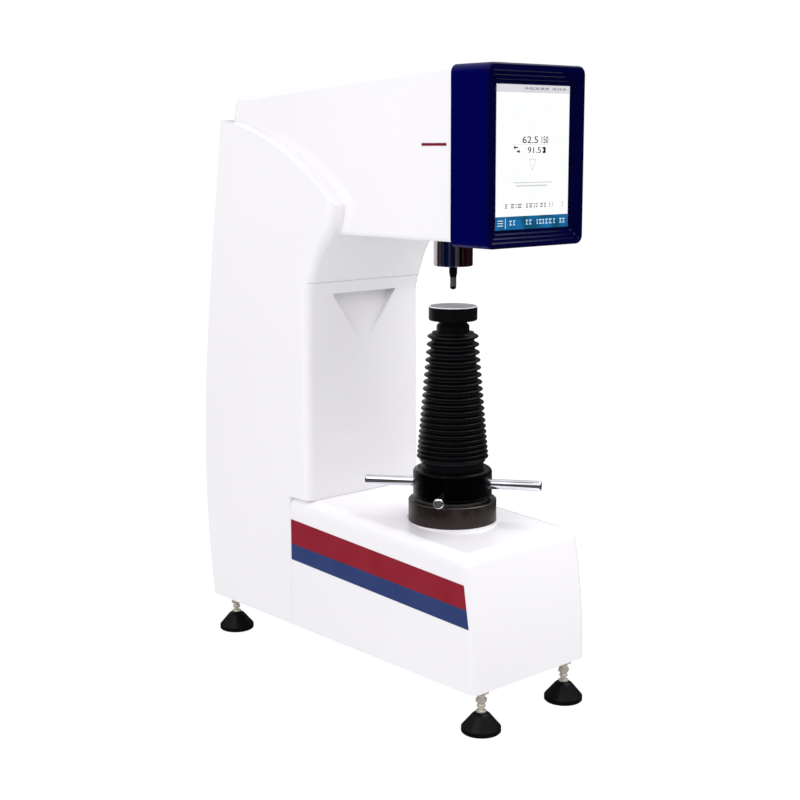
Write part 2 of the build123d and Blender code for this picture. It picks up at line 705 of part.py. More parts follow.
def column_frame():
    """Cast upright: a box section open behind, with feet and a top plate for the arm."""
    outer = block(-FRAME_HALF, FRAME_HALF, FRAME_FRONT, FRAME_REAR, BED_TOP, ARM_BOTTOM)
    room = block(-FRAME_HALF + FRAME_WALL, FRAME_HALF - FRAME_WALL, FRAME_FRONT + FRAME_WALL, FRAME_REAR + 1,
                 BED_TOP + FRAME_WALL, ARM_BOTTOM - FRAME_WALL)
    upright = outer - room
    brow = RELIEF_TOP + 2 * WALL
    clear = side_polygon([(FRAME_FRONT - 1, RELIEF_APEX), (FRAME_FRONT - 1, ARM_BOTTOM - 2 * FRAME_WALL),
                          (FRAME_FRONT + FRAME_SETBACK, brow),
                          (FRAME_FRONT + FRAME_SETBACK, RELIEF_APEX + FRAME_RISE)])
    upright -= across(clear, FRAME_HALF)
    for x, y in frame_bolt_places():
        upright -= disc(BOLT_R + RUN, ARM_BOTTOM - FRAME_WALL, ARM_BOTTOM, x, y)
    return upright


def frame_bolt_places():
    """The four bolts that hold the arm on the upright."""
    inset = FRAME_WALL + 2 * BOLT_R
    return [(x, y) for x in (-ARM_HALF + inset, ARM_HALF - inset)
            for y in (FRAME_FRONT + inset, FRAME_REAR - inset)]


def head_arm():
    """Cast arm: deep over the upright, tapering to the bored nose that holds the spindle."""
    slope = [(ARM_FRONT, ARM_BOTTOM), (ARM_FRONT, ARM_TOP), (FRAME_REAR, ARM_TOP), (FRAME_REAR, ARM_BOTTOM)]
    arm = across(side_polygon(slope), ARM_HALF)
    pocket = block(-ARM_HALF + FRAME_WALL, ARM_HALF - FRAME_WALL, ARM_POCKET_FRONT, FRAME_FRONT - FRAME_WALL,
                   ARM_BOTTOM + FRAME_WALL, ARM_TOP)
    arm -= pocket
    arm -= disc(BUSH_R + RUN, ARM_BOTTOM, ARM_TOP)
    for x, y in frame_bolt_places():
        arm -= disc(BOLT_R + RUN, ARM_BOTTOM, ARM_TOP, x, y)
    return arm


def frame_bolts():
    """Hexagon bolts through the arm into the upright's top plate."""
    bolts = []
    for x, y in frame_bolt_places():
        shank = disc(BOLT_R, ARM_BOTTOM - FRAME_WALL, ARM_TOP, x, y)
        head = Pos(x, y, ARM_TOP) * extrude(RegularPolygon(BOLT_HEAD_R, HEX), BOLT_HEAD_H)
        bolts.append(shank + head)
    return group(bolts)


# ================================================================ elevating screw group
def screw_guide():
    """Flanged guide bush of the elevating screw, with the slot for its key."""
    bore = SCREW_R + RUN
    flange = [(bore, GUIDE_NECK_BOTTOM), (GUIDE_NECK_R, GUIDE_NECK_BOTTOM), (GUIDE_NECK_R, GUIDE_BOTTOM),
              (GUIDE_R, GUIDE_BOTTOM), (GUIDE_R, GUIDE_TOP - 1), (GUIDE_R - 1, GUIDE_TOP), (bore, GUIDE_TOP)]
    return turned(flange) - guide_key(RUN)


def guide_key(grow=0.0):
    """Key that stops the elevating screw from turning."""
    half = KEY_W / 2 - RUN + grow
    inner = SCREW_R - KEY_DEPTH + 2 * RUN - grow
    outer = GUIDE_NECK_R - 2 * RUN + grow
    return block(-half, half, -outer, -inner, GUIDE_NECK_BOTTOM - grow, GUIDE_NECK_BOTTOM + KEY_LENGTH + grow)


def thrust_bearing():
    """Flat thrust race between the guide and the capstan nut."""
    inner = SCREW_R + 2
    return turned([(inner, GUIDE_TOP), (THRUST_R, GUIDE_TOP), (THRUST_R, NUT_BOTTOM - RUN),
                   (inner, NUT_BOTTOM - RUN)])


def capstan_nut():
    """Capstan nut, bored for the screw and cross-drilled for its bars."""
    bore = SCREW_R + RUN
    nut = turned([(bore, NUT_BOTTOM), (NUT_R, NUT_BOTTOM), (NUT_R, NUT_TOP), (bore, NUT_TOP)])
    outer = [e for e in nut.edges().filter_by(GeomType.CIRCLE) if e.radius > NUT_R - 1]
    nut = fillet(outer, NUT_EDGE)
    for place in bar_places():
        nut -= place * Pos(0, 0, BAR_SOCKET - RUN) * upright_rod(BAR_R + RUN, BAR_REACH)
    return nut


def bar_places():
    """A frame for each bar, its Z pointing out from the spindle axis."""
    turns = [BAR_PHASE + k * 360 / BAR_COUNT for k in range(BAR_COUNT)]
    return [Pos(0, 0, BAR_Z) * Rot(0, 0, turn) * Rot(0, 90, 0) for turn in turns]


def upright_rod(radius, length):
    """A rod standing on the origin."""
    return disc(radius, 0, length)


def capstan_bars():
    """Plain round bars with rounded tips."""
    rod = upright_rod(BAR_R, BAR_REACH - BAR_SOCKET)
    rod = fillet(rod.edges().filter_by(GeomType.CIRCLE).sort_by(Axis.Z)[-1], BAR_TIP)
    return group([place * Pos(0, 0, BAR_SOCKET) * rod for place in bar_places()])


def lifting_screw():
    """Elevating screw with its long keyway and the socket for the anvil."""
    screw = disc(SCREW_R, SCREW_BOTTOM, CUFF_HIGH_TOP)
    screw -= block(-KEY_W / 2, KEY_W / 2, -SCREW_R - 1, -SCREW_R + KEY_DEPTH, SCREW_BOTTOM, KEYWAY_TOP)
    screw -= disc(ANVIL_SPIGOT_R + RUN, CUFF_HIGH_TOP - ANVIL_SPIGOT - SEAT, CUFF_HIGH_TOP)
    return chamfer(screw.edges().group_by(Axis.Z)[0].filter_by(GeomType.CIRCLE), 1)


def bellows_radius(height):
    """Outer radius of the folds at a height."""
    share = (height - BELLOWS_BOTTOM) / (BELLOWS_TOP - BELLOWS_BOTTOM)
    return BELLOWS_LOW_R + share * (BELLOWS_HIGH_R - BELLOWS_LOW_R)


def bellows():
    """Tapered rubber bellows: sharp round folds outside, a smooth cone inside."""
    pitch = (BELLOWS_TOP - BELLOWS_BOTTOM) / BELLOWS_FOLDS
    outline = [(bellows_radius(BELLOWS_BOTTOM) - BELLOWS_FOLD_DEPTH, BELLOWS_BOTTOM)]
    for fold in range(BELLOWS_FOLDS):
        crest = BELLOWS_BOTTOM + (fold + 0.5) * pitch
        valley = BELLOWS_BOTTOM + (fold + 1) * pitch
        outline.append((bellows_radius(crest), crest))
        outline.append((bellows_radius(valley) - BELLOWS_FOLD_DEPTH, valley))
    inner = BELLOWS_FOLD_DEPTH + BELLOWS_WALL
    outline.append((bellows_radius(BELLOWS_TOP) - inner, BELLOWS_TOP))
    outline.append((bellows_radius(BELLOWS_BOTTOM) - inner, BELLOWS_BOTTOM))
    return turned(outline)


def lower_cuff():
    """Ring that holds the foot of the bellows on the nut."""
    inner = SCREW_R + 4
    low = NUT_TOP + RUN
    return turned([(inner, low), (CUFF_LOW_R, low), (CUFF_LOW_R, CUFF_LOW_TOP - 1),
                   (CUFF_LOW_R - 1, CUFF_LOW_TOP),
                   (bellows_radius(BELLOWS_BOTTOM) - BELLOWS_FOLD_DEPTH, BELLOWS_BOTTOM),
                   (inner, BELLOWS_BOTTOM)])


def upper_cuff():
    """Clamp ring of the bellows at the screw's head."""
    valley = bellows_radius(BELLOWS_TOP) - BELLOWS_FOLD_DEPTH
    return turned([(SCREW_R + RUN, BELLOWS_TOP), (valley, BELLOWS_TOP), (CUFF_HIGH_R, BELLOWS_TOP + 1),
                   (CUFF_HIGH_R, CUFF_HIGH_TOP - CUFF_HIGH_EDGE),
                   (CUFF_HIGH_R - CUFF_HIGH_EDGE, CUFF_HIGH_TOP), (SCREW_R + RUN, CUFF_HIGH_TOP)])


def anvil():
    """Flat anvil: ground face, short neck and the spigot in the screw."""
    low = CUFF_HIGH_TOP
    return turned([(0, low - ANVIL_SPIGOT), (ANVIL_SPIGOT_R, low - ANVIL_SPIGOT), (ANVIL_SPIGOT_R, low),
                   (ANVIL_NECK_R, low), (ANVIL_NECK_R, ANVIL_BOTTOM), (ANVIL_R - ANVIL_EDGE, ANVIL_BOTTOM),
                   (ANVIL_R, ANVIL_BOTTOM + ANVIL_EDGE), (ANVIL_R, ANVIL_TOP - ANVIL_EDGE),
                   (ANVIL_R - ANVIL_EDGE, ANVIL_TOP), (0, ANVIL_TOP)])


# ================================================================ spindle and drive
def nose_sleeve():
    """Polished sleeve round the spindle, screwed up against the arm."""
    lip = CHUCK_R + SEAT
    return turned([(lip, NOSE_BOTTOM), (NOSE_R - 1, NOSE_BOTTOM), (NOSE_R, NOSE_BOTTOM + 1),
                   (NOSE_R, ARM_BOTTOM), (NOSE_BORE_R, ARM_BOTTOM), (NOSE_BORE_R, NOSE_BOTTOM + NOSE_LIP),
                   (lip, NOSE_BOTTOM + NOSE_LIP)])


def spindle_bush():
    """Bronze guide bush pressed into the arm."""
    return turned([(SPINDLE_R + RUN, ARM_BOTTOM), (BUSH_R, ARM_BOTTOM), (BUSH_R, ARM_TOP),
                   (SPINDLE_R + RUN, ARM_TOP)])


def spindle():
    """Ground spindle, bored below for the indenter holder."""
    socket = disc(CHUCK_R + RUN, SPINDLE_BOTTOM, SPINDLE_BOTTOM + CHUCK_SOCKET)
    return disc(SPINDLE_R, SPINDLE_BOTTOM, CELL_BOTTOM) - socket


def indenter_chuck():
    """Black holder that takes the indenter's shank."""
    top = SPINDLE_BOTTOM + CHUCK_SOCKET
    taper = CHUCK_R - 1
    return turned([(STEM_R + RUN, CHUCK_BOTTOM), (taper, CHUCK_BOTTOM),
                   (CHUCK_R, CHUCK_BOTTOM + 3 * STEM_R / 2),
                   (CHUCK_R, top), (0, top), (0, CHUCK_BOTTOM + STEM_BORE),
                   (STEM_R + RUN, CHUCK_BOTTOM + STEM_BORE)])


def indenter():
    """Diamond-tipped indenter: shank, cone and tip."""
    shoulder = TIP_Z + INDENTER_CONE
    cone = Polyline((TIP_R, TIP_Z + TIP_R / 2), (STEM_R - 1, shoulder), (STEM_R, shoulder + 1),
                    (STEM_R, CHUCK_BOTTOM + STEM_BORE), (0, CHUCK_BOTTOM + STEM_BORE), (0, TIP_Z))
    tip = ThreePointArc((0, TIP_Z), (TIP_R * 0.6, TIP_Z + TIP_R * 0.15), (TIP_R, TIP_Z + TIP_R / 2))
    return revolve(Plane.XZ * make_face(cone + tip), Axis.Z)


CELL_BOTTOM = ARM_TOP + CELL_GAP
CROSSHEAD_BOTTOM = CELL_BOTTOM + CELL_H
CROSSHEAD_TOP = CROSSHEAD_BOTTOM + CROSSHEAD_H
LEAD_SCREW_BOTTOM = CROSSHEAD_BOTTOM + LEAD_SCREW_ENTRY
PULLEY_BOTTOM = DRIVE_PLATE_Z + DRIVE_PLATE_T + 2
PULLEY_TOP = PULLEY_BOTTOM + PULLEY_T


def load_cell():
    """Round load cell between spindle and crosshead, waisted for its gauges."""
    return turned([(0, CELL_BOTTOM), (CELL_R, CELL_BOTTOM), (CELL_R, CELL_BOTTOM + CELL_RIM),
                   (CELL_R - CELL_WAIST, CELL_BOTTOM + CELL_RIM + 2),
                   (CELL_R - CELL_WAIST, CROSSHEAD_BOTTOM - CELL_RIM - 2),
                   (CELL_R, CROSSHEAD_BOTTOM - CELL_RIM), (CELL_R, CROSSHEAD_BOTTOM), (0, CROSSHEAD_BOTTOM)])


def crosshead():
    """Drive nut block, sliding on the two pillars."""
    half = PILLAR_X + 2 * PILLAR_R
    body = block(-half, half, -CELL_R, CELL_R, CROSSHEAD_BOTTOM, CROSSHEAD_TOP)
    body = fillet(body.edges().filter_by(Axis.Z), 2 * PILLAR_R)
    body -= disc(LEAD_SCREW_R + RUN, CROSSHEAD_BOTTOM + LEAD_SCREW_ENTRY / 2, CROSSHEAD_TOP)
    for x in (-PILLAR_X, PILLAR_X):
        body -= disc(PILLAR_R + RUN, CROSSHEAD_BOTTOM, CROSSHEAD_TOP, x)
    return body


def guide_pillars():
    """Two ground pillars between arm and drive plate."""
    return group([disc(PILLAR_R, ARM_TOP, DRIVE_PLATE_Z, x) for x in (-PILLAR_X, PILLAR_X)])


def drive_plate():
    """Plate over the pillars that carries the lead screw's bearing and the motor."""
    half = PILLAR_X + 2 * PILLAR_R
    plate = block(-half, half, -CELL_R - 4, MOTOR_Y + MOTOR_HALF + 2, DRIVE_PLATE_Z,
                  DRIVE_PLATE_Z + DRIVE_PLATE_T)
    plate = fillet(plate.edges().filter_by(Axis.Z), 2 * PILLAR_R)
    plate -= disc(BEARING_R + RUN, DRIVE_PLATE_Z, DRIVE_PLATE_Z + DRIVE_PLATE_T)
    return plate - disc(MOTOR_PILOT_R, DRIVE_PLATE_Z, DRIVE_PLATE_Z + DRIVE_PLATE_T, 0, MOTOR_Y)


def screw_bearing():
    """Ball bearing of the lead screw."""
    return turned([(LEAD_SCREW_R + RUN, DRIVE_PLATE_Z), (BEARING_R, DRIVE_PLATE_Z),
                   (BEARING_R, DRIVE_PLATE_Z + DRIVE_PLATE_T),
                   (LEAD_SCREW_R + RUN, DRIVE_PLATE_Z + DRIVE_PLATE_T)])


def lead_screw():
    """Ball screw that drives the crosshead."""
    return disc(LEAD_SCREW_R, LEAD_SCREW_BOTTOM, PULLEY_TOP)


def pulley(radius, bore, y=0.0):
    """Toothed pulley with its teeth as fine grooves."""
    teeth = round(2 * math.pi * radius / TOOTH_PITCH)
    wheel = disc(radius, PULLEY_BOTTOM, PULLEY_TOP) - disc(bore + RUN, PULLEY_BOTTOM, PULLEY_TOP)
    groove = Pos(radius, 0, 0) * disc(TOOTH_PITCH / 4, PULLEY_BOTTOM, PULLEY_TOP)
    wheel -= [Rot(0, 0, k * 360 / teeth) * groove for k in range(teeth)]
    return Pos(0, y, 0) * wheel


def screw_pulley():
    """Large pulley on the lead screw."""
    return pulley(SCREW_PULLEY_R, LEAD_SCREW_R)


def motor_pulley():
    """Small pulley on the motor's shaft."""
    return pulley(MOTOR_PULLEY_R, MOTOR_SHAFT_R, MOTOR_Y)


def belt_loop(grow):
    """Outline round both pulleys."""
    big = Edge.make_circle(SCREW_PULLEY_R + grow)
    small = Pos(0, MOTOR_Y) * Edge.make_circle(MOTOR_PULLEY_R + grow)
    return make_hull([big, small])


def drive_belt():
    """Toothed belt, drawn as a plain band."""
    band = belt_loop(SEAT + BELT_T) - belt_loop(SEAT)
    return Pos(0, 0, PULLEY_BOTTOM + 1) * extrude(band, PULLEY_T - 2)


def drive_motor():
    """Square-framed stepper motor hung under the drive plate."""
    body = block(-MOTOR_HALF, MOTOR_HALF, MOTOR_Y - MOTOR_HALF, MOTOR_Y + MOTOR_HALF,
                 DRIVE_PLATE_Z - MOTOR_H, DRIVE_PLATE_Z)
    body = chamfer(body.edges().filter_by(Axis.Z), 4)
    return body - disc(MOTOR_SHAFT_R + RUN, DRIVE_PLATE_Z - MOTOR_H / 2, DRIVE_PLATE_Z, 0, MOTOR_Y)


def motor_shaft():
    """The motor's rotor shaft."""
    return disc(MOTOR_SHAFT_R, DRIVE_PLATE_Z - MOTOR_H / 2, PULLEY_TOP, 0, MOTOR_Y)


def depth_encoder():
    """Reading head of the depth scale, standing on the arm."""
    front = -CELL_R - SCALE_T - SEAT
    return block(-ENCODER_HALF, ENCODER_HALF, front - 2 * ENCODER_HALF, front, ARM_TOP, ARM_TOP + ENCODER_H)


def encoder_scale():
    """Glass scale fixed to the crosshead."""
    half = ENCODER_HALF / 2
    return block(-half, half, -CELL_R - SCALE_T, -CELL_R, CROSSHEAD_TOP - ENCODER_H / 2, CROSSHEAD_TOP)


# ================================================================ feet
def foot_places():
    """Centres of the four feet: front left, front right, rear left, rear right."""
    return [(x, y) for y in (FOOT_FRONT, FOOT_REAR) for x in (-FOOT_X, FOOT_X)]


def foot_pad(x, y):
    """Conical rubber-faced pad with the socket of the stud's ball end."""
    shoulder_in, shoulder_up = PAD_SHOULDER
    neck_out, neck_down = PAD_NECK
    pad = turned([(0, 0), (PAD_R - 1, 0), (PAD_R, 1), (PAD_R, PAD_RIM),
                  (PAD_R - shoulder_in, PAD_RIM + shoulder_up), (PAD_TOP_R + neck_out, PAD_H - neck_down),
                  (PAD_TOP_R, PAD_H), (SOCKET_R, PAD_H), (SOCKET_R, SOCKET_FLOOR), (0, SOCKET_FLOOR)])
    return Pos(x, y, 0) * pad


def foot_stud(x, y):
    """Plated levelling stud with its hexagon collar."""
    stud = disc(STUD_R, SOCKET_FLOOR, STUD_TOP)
    stud = fillet(stud.edges().filter_by(GeomType.CIRCLE).sort_by(Axis.Z)[0], STUD_R / 2)
    stud += Pos(0, 0, PAD_H + SEAT) * extrude(RegularPolygon(COLLAR_AF / HEX_ROUND, HEX), COLLAR_H)
    return Pos(x, y, 0) * stud


def lock_nuts():
    """Plated lock nuts under the bed."""
    top = BED_BOTTOM
    nut = Pos(0, 0, top - LOCK_H) * extrude(RegularPolygon(LOCK_AF / HEX_ROUND, HEX), LOCK_H)
    nut -= disc(STUD_R + RUN, top - LOCK_H, top)
    return group([Pos(x, y, 0) * nut for x, y in foot_places()])


# ================================================================ rear panel and electronics
def io_plate():
    """Steel plate in the recess, cut out for inlet, switch and data port."""
    half_x = IO_HALF_X - SEAM
    half_z = IO_HALF_Z - SEAM
    low = IO_FACE_Y - IO_PLATE_T
    plate = block(-half_x, half_x, low, IO_FACE_Y, IO_Z - half_z, IO_Z + half_z)
    plate = fillet(plate.edges().filter_by(Axis.Y), 2)
    for x, width, height in ((SWITCH_X, SWITCH_W, SWITCH_H), (0, INLET_W, INLET_H), (PORT_X, PORT_W, PORT_H)):
        plate -= panel_body(x, width + 2 * RUN, height + 2 * RUN, low - 1, IO_FACE_Y + 1)
    return plate


def panel_body(x, width, height, y0, y1):
    """A block centred on the plate's middle line."""
    return block(x - width / 2, x + width / 2, y0, y1, IO_Z - height / 2, IO_Z + height / 2)


def power_inlet():
    """Three-pole appliance inlet with its shroud and pins."""
    rear = IO_FACE_Y - INLET_D
    half_w, half_h = PIN_HALF
    body = panel_body(0, INLET_W + 2 * INLET_LIP, INLET_H + 2 * INLET_LIP, IO_FACE_Y, IO_FACE_Y + 2)
    body += panel_body(0, INLET_W, INLET_H, rear, IO_FACE_Y)
    body -= panel_body(0, INLET_W - 2 * INLET_WALL, INLET_H - 2 * INLET_WALL, rear + INLET_FLOOR,
                       IO_FACE_Y + INLET_LIP)
    for x, z in INLET_PINS:
        body += block(x - half_w, x + half_w, rear + 2, IO_FACE_Y - INLET_FLOOR, IO_Z + z - half_h,
                      IO_Z + z + half_h)
    return body


def data_port():
    """Data socket with its metal shroud."""
    lip_x, lip_z = PORT_LIP
    body = panel_body(PORT_X, PORT_W + 2 * lip_x, PORT_H + 2 * lip_z, IO_FACE_Y, IO_FACE_Y + PLATE_LIP)
    body += panel_body(PORT_X, PORT_W, PORT_H, IO_FACE_Y - PORT_D, IO_FACE_Y + PORT_PROUD)
    return body - panel_body(PORT_X, PORT_W - 2 * PORT_WALL, PORT_H - 2 * PORT_WALL, IO_FACE_Y - 2,
                             IO_FACE_Y + PORT_PROUD + 1)


def switch_frame():
    """Frame of the rocker switch."""
    frame = panel_body(SWITCH_X, SWITCH_W + 2 * PLATE_LIP, SWITCH_H + 2 * PLATE_LIP, IO_FACE_Y,
                       IO_FACE_Y + PLATE_LIP)
    frame += panel_body(SWITCH_X, SWITCH_W, SWITCH_H, IO_FACE_Y - SWITCH_D, IO_FACE_Y)
    return frame - panel_body(SWITCH_X, ROCKER_W + 2 * SEAT, ROCKER_H + 2 * SEAT, IO_FACE_Y - SWITCH_D + 2,
                              IO_FACE_Y + 2)


def power_rocker():
    """Rocker with a shallow V face, lying at one side of its throw."""
    half_h = ROCKER_H / 2 - 4 * SEAT
    outline = [(-ROCKER_ROOT, -ROCKER_ROOT_HALF), (-ROCKER_ROOT, ROCKER_ROOT_HALF), (0, half_h),
               (ROCKER_RISE, half_h), (ROCKER_RISE - ROCKER_DISH, 0), (ROCKER_RISE, -half_h), (0, -half_h)]
    rocker = extrude(side_polygon(outline), ROCKER_W / 2, both=True)
    return Pos(SWITCH_X, ROCKER_AXIS_Y, IO_Z) * Rot(-ROCKER_THROW / 2, 0, 0) * rocker


def power_supply():
    """Enclosed power supply standing in the upright."""
    half = FRAME_HALF - FRAME_WALL - PSU_MARGIN
    slot_half = half * PSU_SLOT_SHARE
    rear = FRAME_FRONT + FRAME_WALL + PSU_D
    low = BED_TOP + FRAME_WALL
    body = block(-half, half, FRAME_FRONT + FRAME_WALL, rear, low, low + PSU_H)
    sills = [low + PSU_SLOT_START + k * PSU_SLOT_PITCH for k in range(PSU_SLOTS)]
    slots = [block(-slot_half, slot_half, rear - 2, rear, sill, sill + PSU_SLOT_W) for sill in sills]
    return body - slots


def control_board():
    """Motor and measuring board with its standoffs, fixed in the upright."""
    back = FRAME_FRONT + FRAME_WALL
    board = block(-BOARD_HALF, BOARD_HALF, back + STANDOFF, back + STANDOFF + BOARD_T, BOARD_Z - BOARD_TALL,
                  BOARD_Z + BOARD_TALL)
    for x, z, half, tall in BOARD_CHIPS:
        board += block(x - half, x + half, back + STANDOFF + BOARD_T, back + STANDOFF + BOARD_T + tall,
                       BOARD_Z + z - half, BOARD_Z + z + half)
    post = Pos(0, back, 0) * Rot(-90, 0, 0) * upright_rod(POST_R, STANDOFF)
    for x in (-BOARD_HALF + POST_INSET, BOARD_HALF - POST_INSET):
        for z in (BOARD_Z - BOARD_TALL + POST_INSET, BOARD_Z + BOARD_TALL - POST_INSET):
            board += Pos(x, 0, z) * post
    return board


# ================================================================ assembly
def build():
    """Write every piece."""
    os.makedirs("parts", exist_ok=True)
    pieces = [base_casing, column_casing, head_casing, rear_cover, cover_screws, red_stripes, blue_stripes,
              head_marks, bezel, touch_glass, lcd_module, display_board, bed_frame, column_frame, head_arm,
              frame_bolts, screw_guide, guide_key, thrust_bearing, capstan_nut, capstan_bars, lifting_screw,
              bellows, lower_cuff, upper_cuff, anvil, nose_sleeve, spindle_bush, spindle, indenter_chuck,
              indenter, load_cell, crosshead, guide_pillars, drive_plate, screw_bearing, lead_screw,
              screw_pulley, motor_pulley, drive_belt, drive_motor, motor_shaft, depth_encoder, encoder_scale,
              lock_nuts, io_plate, power_inlet, data_port, switch_frame, power_rocker, power_supply,
              control_board]
    for piece in pieces:
        write(piece.__name__, piece())
    for name, (x, y) in zip(("front_left", "front_right", "rear_left", "rear_right"), foot_places()):
        write(f"foot_pad_{name}", foot_pad(x, y))
        write(f"foot_stud_{name}", foot_stud(x, y))


build()
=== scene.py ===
"""The dressed hardness tester: finishes for every part, the rubber bellows, the lit screen and the studio."""

from math import cos, pi, radians, sin

import bmesh
import bpy
from mathutils import Matrix, Quaternion, Vector


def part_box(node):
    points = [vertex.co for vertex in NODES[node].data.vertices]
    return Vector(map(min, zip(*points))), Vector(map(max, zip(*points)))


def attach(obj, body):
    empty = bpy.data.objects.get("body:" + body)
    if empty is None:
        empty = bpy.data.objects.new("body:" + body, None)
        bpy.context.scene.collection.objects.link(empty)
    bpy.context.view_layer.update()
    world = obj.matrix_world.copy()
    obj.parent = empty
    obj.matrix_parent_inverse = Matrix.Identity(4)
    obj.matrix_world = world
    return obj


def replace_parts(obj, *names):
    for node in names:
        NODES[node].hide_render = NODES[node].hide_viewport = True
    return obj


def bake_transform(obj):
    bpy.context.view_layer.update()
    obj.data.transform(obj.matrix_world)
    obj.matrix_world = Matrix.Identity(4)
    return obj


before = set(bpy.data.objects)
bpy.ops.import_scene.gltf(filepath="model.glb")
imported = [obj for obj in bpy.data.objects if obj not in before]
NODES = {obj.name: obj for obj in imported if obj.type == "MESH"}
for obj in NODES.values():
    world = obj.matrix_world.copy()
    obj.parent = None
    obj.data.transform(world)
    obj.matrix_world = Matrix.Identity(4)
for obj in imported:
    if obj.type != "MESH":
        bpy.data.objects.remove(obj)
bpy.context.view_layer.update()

MM = 0.001
SPINDLE_Y = -0.1265          # the spindle's axis, in front of the middle of the machine
TOUCHING = 1e-7              # metres; vertices that lie nearer than this are one


# ---------------------------------------------------------------- finishes
WAVE_TURN = 20.0             # radians that a wave texture of scale 1 goes through in a length of 1
# The clouding and the grain of the finishes that are made singly, in metres across.
STEEL_CLOUD, SATIN_CLOUD, NAVY_CLOUD, SCREEN_CLOUD, FLOOR_CLOUD = 0.012, 0.01, 0.03, 0.02, 0.5
RUBBER_GRAIN, NAVY_GRAIN = 0.0009, 0.002
ANVIL_PITCH = 0.000625


def linear(code):
    """A colour given as sRGB hex, as the linear values that a shader takes."""
    shares = [int(code[i:i + 2], 16) / 255 for i in (1, 3, 5)]
    return tuple(s / 12.92 if s <= 0.04045 else ((s + 0.055) / 1.055) ** 2.4 for s in shares) + (1.0,)


def add(tree, kind, values=None, links=None, **settings):
    """Adds one node; values fill its sockets and links join them to other nodes' outputs."""
    node = tree.nodes.new("ShaderNode" + kind)
    for name, value in settings.items():
        setattr(node, name, value)
    for name, value in (values or {}).items():
        node.inputs[name].default_value = value
    for name, output in (links or {}).items():
        tree.links.new(output, node.inputs[name])
    return node


def start(name, roughness, metallic=0.0, **sockets):
    """A new finish: its node tree, its shader and the object's coordinates in metres."""
    made = bpy.data.materials.new(name)
    made.use_nodes = True
    tree = made.node_tree
    shader = tree.nodes["Principled BSDF"]
    shader.inputs["Metallic"].default_value = metallic
    shader.inputs["Roughness"].default_value = roughness
    for label, value in sockets.items():
        shader.inputs[label.replace("_", " ")].default_value = value
    place = add(tree, "TexCoord").outputs["Object"]
    return made, tree, shader, place


def fill(ramp, stops):
    """Gives a colour ramp its (position, hex) stops."""
    elements = ramp.color_ramp.elements
    while len(elements) < len(stops):
        elements.new(1.0)
    for element, (position, code) in zip(elements, stops):
        element.position = position
        element.color = linear(code)


def tint(tree, shader, factor, stops, socket="Base Color"):
    """Colours one of the shader's sockets by a ramp of (position, hex) stops."""
    ramp = add(tree, "ValToRGB", links={"Fac": factor})
    fill(ramp, stops)
    tree.links.new(ramp.outputs["Color"], shader.inputs[socket])


def vary(tree, shader, factor, low, high):
    """Roughness that wanders between two values with a noise."""
    ranged = add(tree, "MapRange", {"From Min": 0.3, "From Max": 0.7, "To Min": low, "To Max": high},
                 {"Value": factor})
    tree.links.new(ranged.outputs["Result"], shader.inputs["Roughness"])


def relief(tree, shader, height, depth, strength=1.0):
    """Fine relief, depth metres high."""
    bump = add(tree, "Bump", {"Distance": depth, "Strength": strength}, {"Height": height})
    tree.links.new(bump.outputs["Normal"], shader.inputs["Normal"])


def mottled(name, stops, roughness, grain, depth, metallic=0.0, cloud_size=0.03, **sockets):
    """A plain surface with slight clouding in its colour and gloss, and a fine grain; sizes are in metres."""
    made, tree, shader, place = start(name, roughness, metallic, **sockets)
    cloud = add(tree, "TexNoise", {"Scale": 1 / cloud_size}, {"Vector": place}).outputs["Fac"]
    fine = add(tree, "TexNoise", {"Scale": 1 / grain}, {"Vector": place}).outputs["Fac"]
    tint(tree, shader, cloud, stops)
    vary(tree, shader, cloud, roughness * 0.85, roughness * 1.15)
    relief(tree, shader, fine, depth)
    return made


def about_spindle(tree, place):
    """The object's coordinates measured from the spindle's axis."""
    return add(tree, "Mapping", {"Location": (0.0, -SPINDLE_Y, 0.0)}, {"Vector": place}).outputs["Vector"]


def turned(name, stops, roughness, pitch, depth, **sockets):
    """Metal cut on a lathe, with rings round the spindle's axis and lines up its side.

    A tool's pitch is too fine to show, so they are drawn coarser: 2 pi pitches apart."""
    made, tree, shader, place = start(name, roughness, 1.0, **sockets)
    centred = about_spindle(tree, place)
    waves = {"Scale": 1 / pitch / WAVE_TURN, "Distortion": 0.6, "Detail": 2.0}
    ring = add(tree, "TexWave", waves, {"Vector": centred}, wave_type="RINGS", rings_direction="Z")
    rise = add(tree, "TexWave", waves, {"Vector": centred}, wave_type="BANDS", bands_direction="Z")
    both = add(tree, "Math", links={0: ring.outputs["Fac"], 1: rise.outputs["Fac"]}, operation="ADD")
    cloud = add(tree, "TexNoise", {"Scale": 1 / STEEL_CLOUD, "Detail": 3.0}, {"Vector": place}).outputs["Fac"]
    tint(tree, shader, cloud, stops)
    vary(tree, shader, cloud, roughness * 0.8, roughness * 1.2)
    relief(tree, shader, both.outputs["Value"], depth, 0.5)
    return made


# Two-pack gloss enamel over the moulded casing: a deep clear gloss with a very slight orange peel.
white_enamel = mottled("gloss_white_enamel", [(0.3, "#F6F5F8"), (0.7, "#F9F8FA")], 0.24, 0.011, 0.00001,
                       cloud_size=0.3, Coat_Weight=0.35, Coat_Roughness=0.12, IOR=1.5)
# Screen-printed acrylic strips, glossy with a faint ripple from the adhesive beneath.
red_acrylic = mottled("red_acrylic_strip", [(0.3, "#8A202E"), (0.7, "#8E2432")], 0.2, 0.006, 0.00001,
                      Specular_IOR_Level=0.12)
blue_acrylic = mottled("blue_acrylic_strip", [(0.3, "#2E3E6E"), (0.7, "#324272")], 0.2, 0.006, 0.00001,
                       Specular_IOR_Level=0.12)
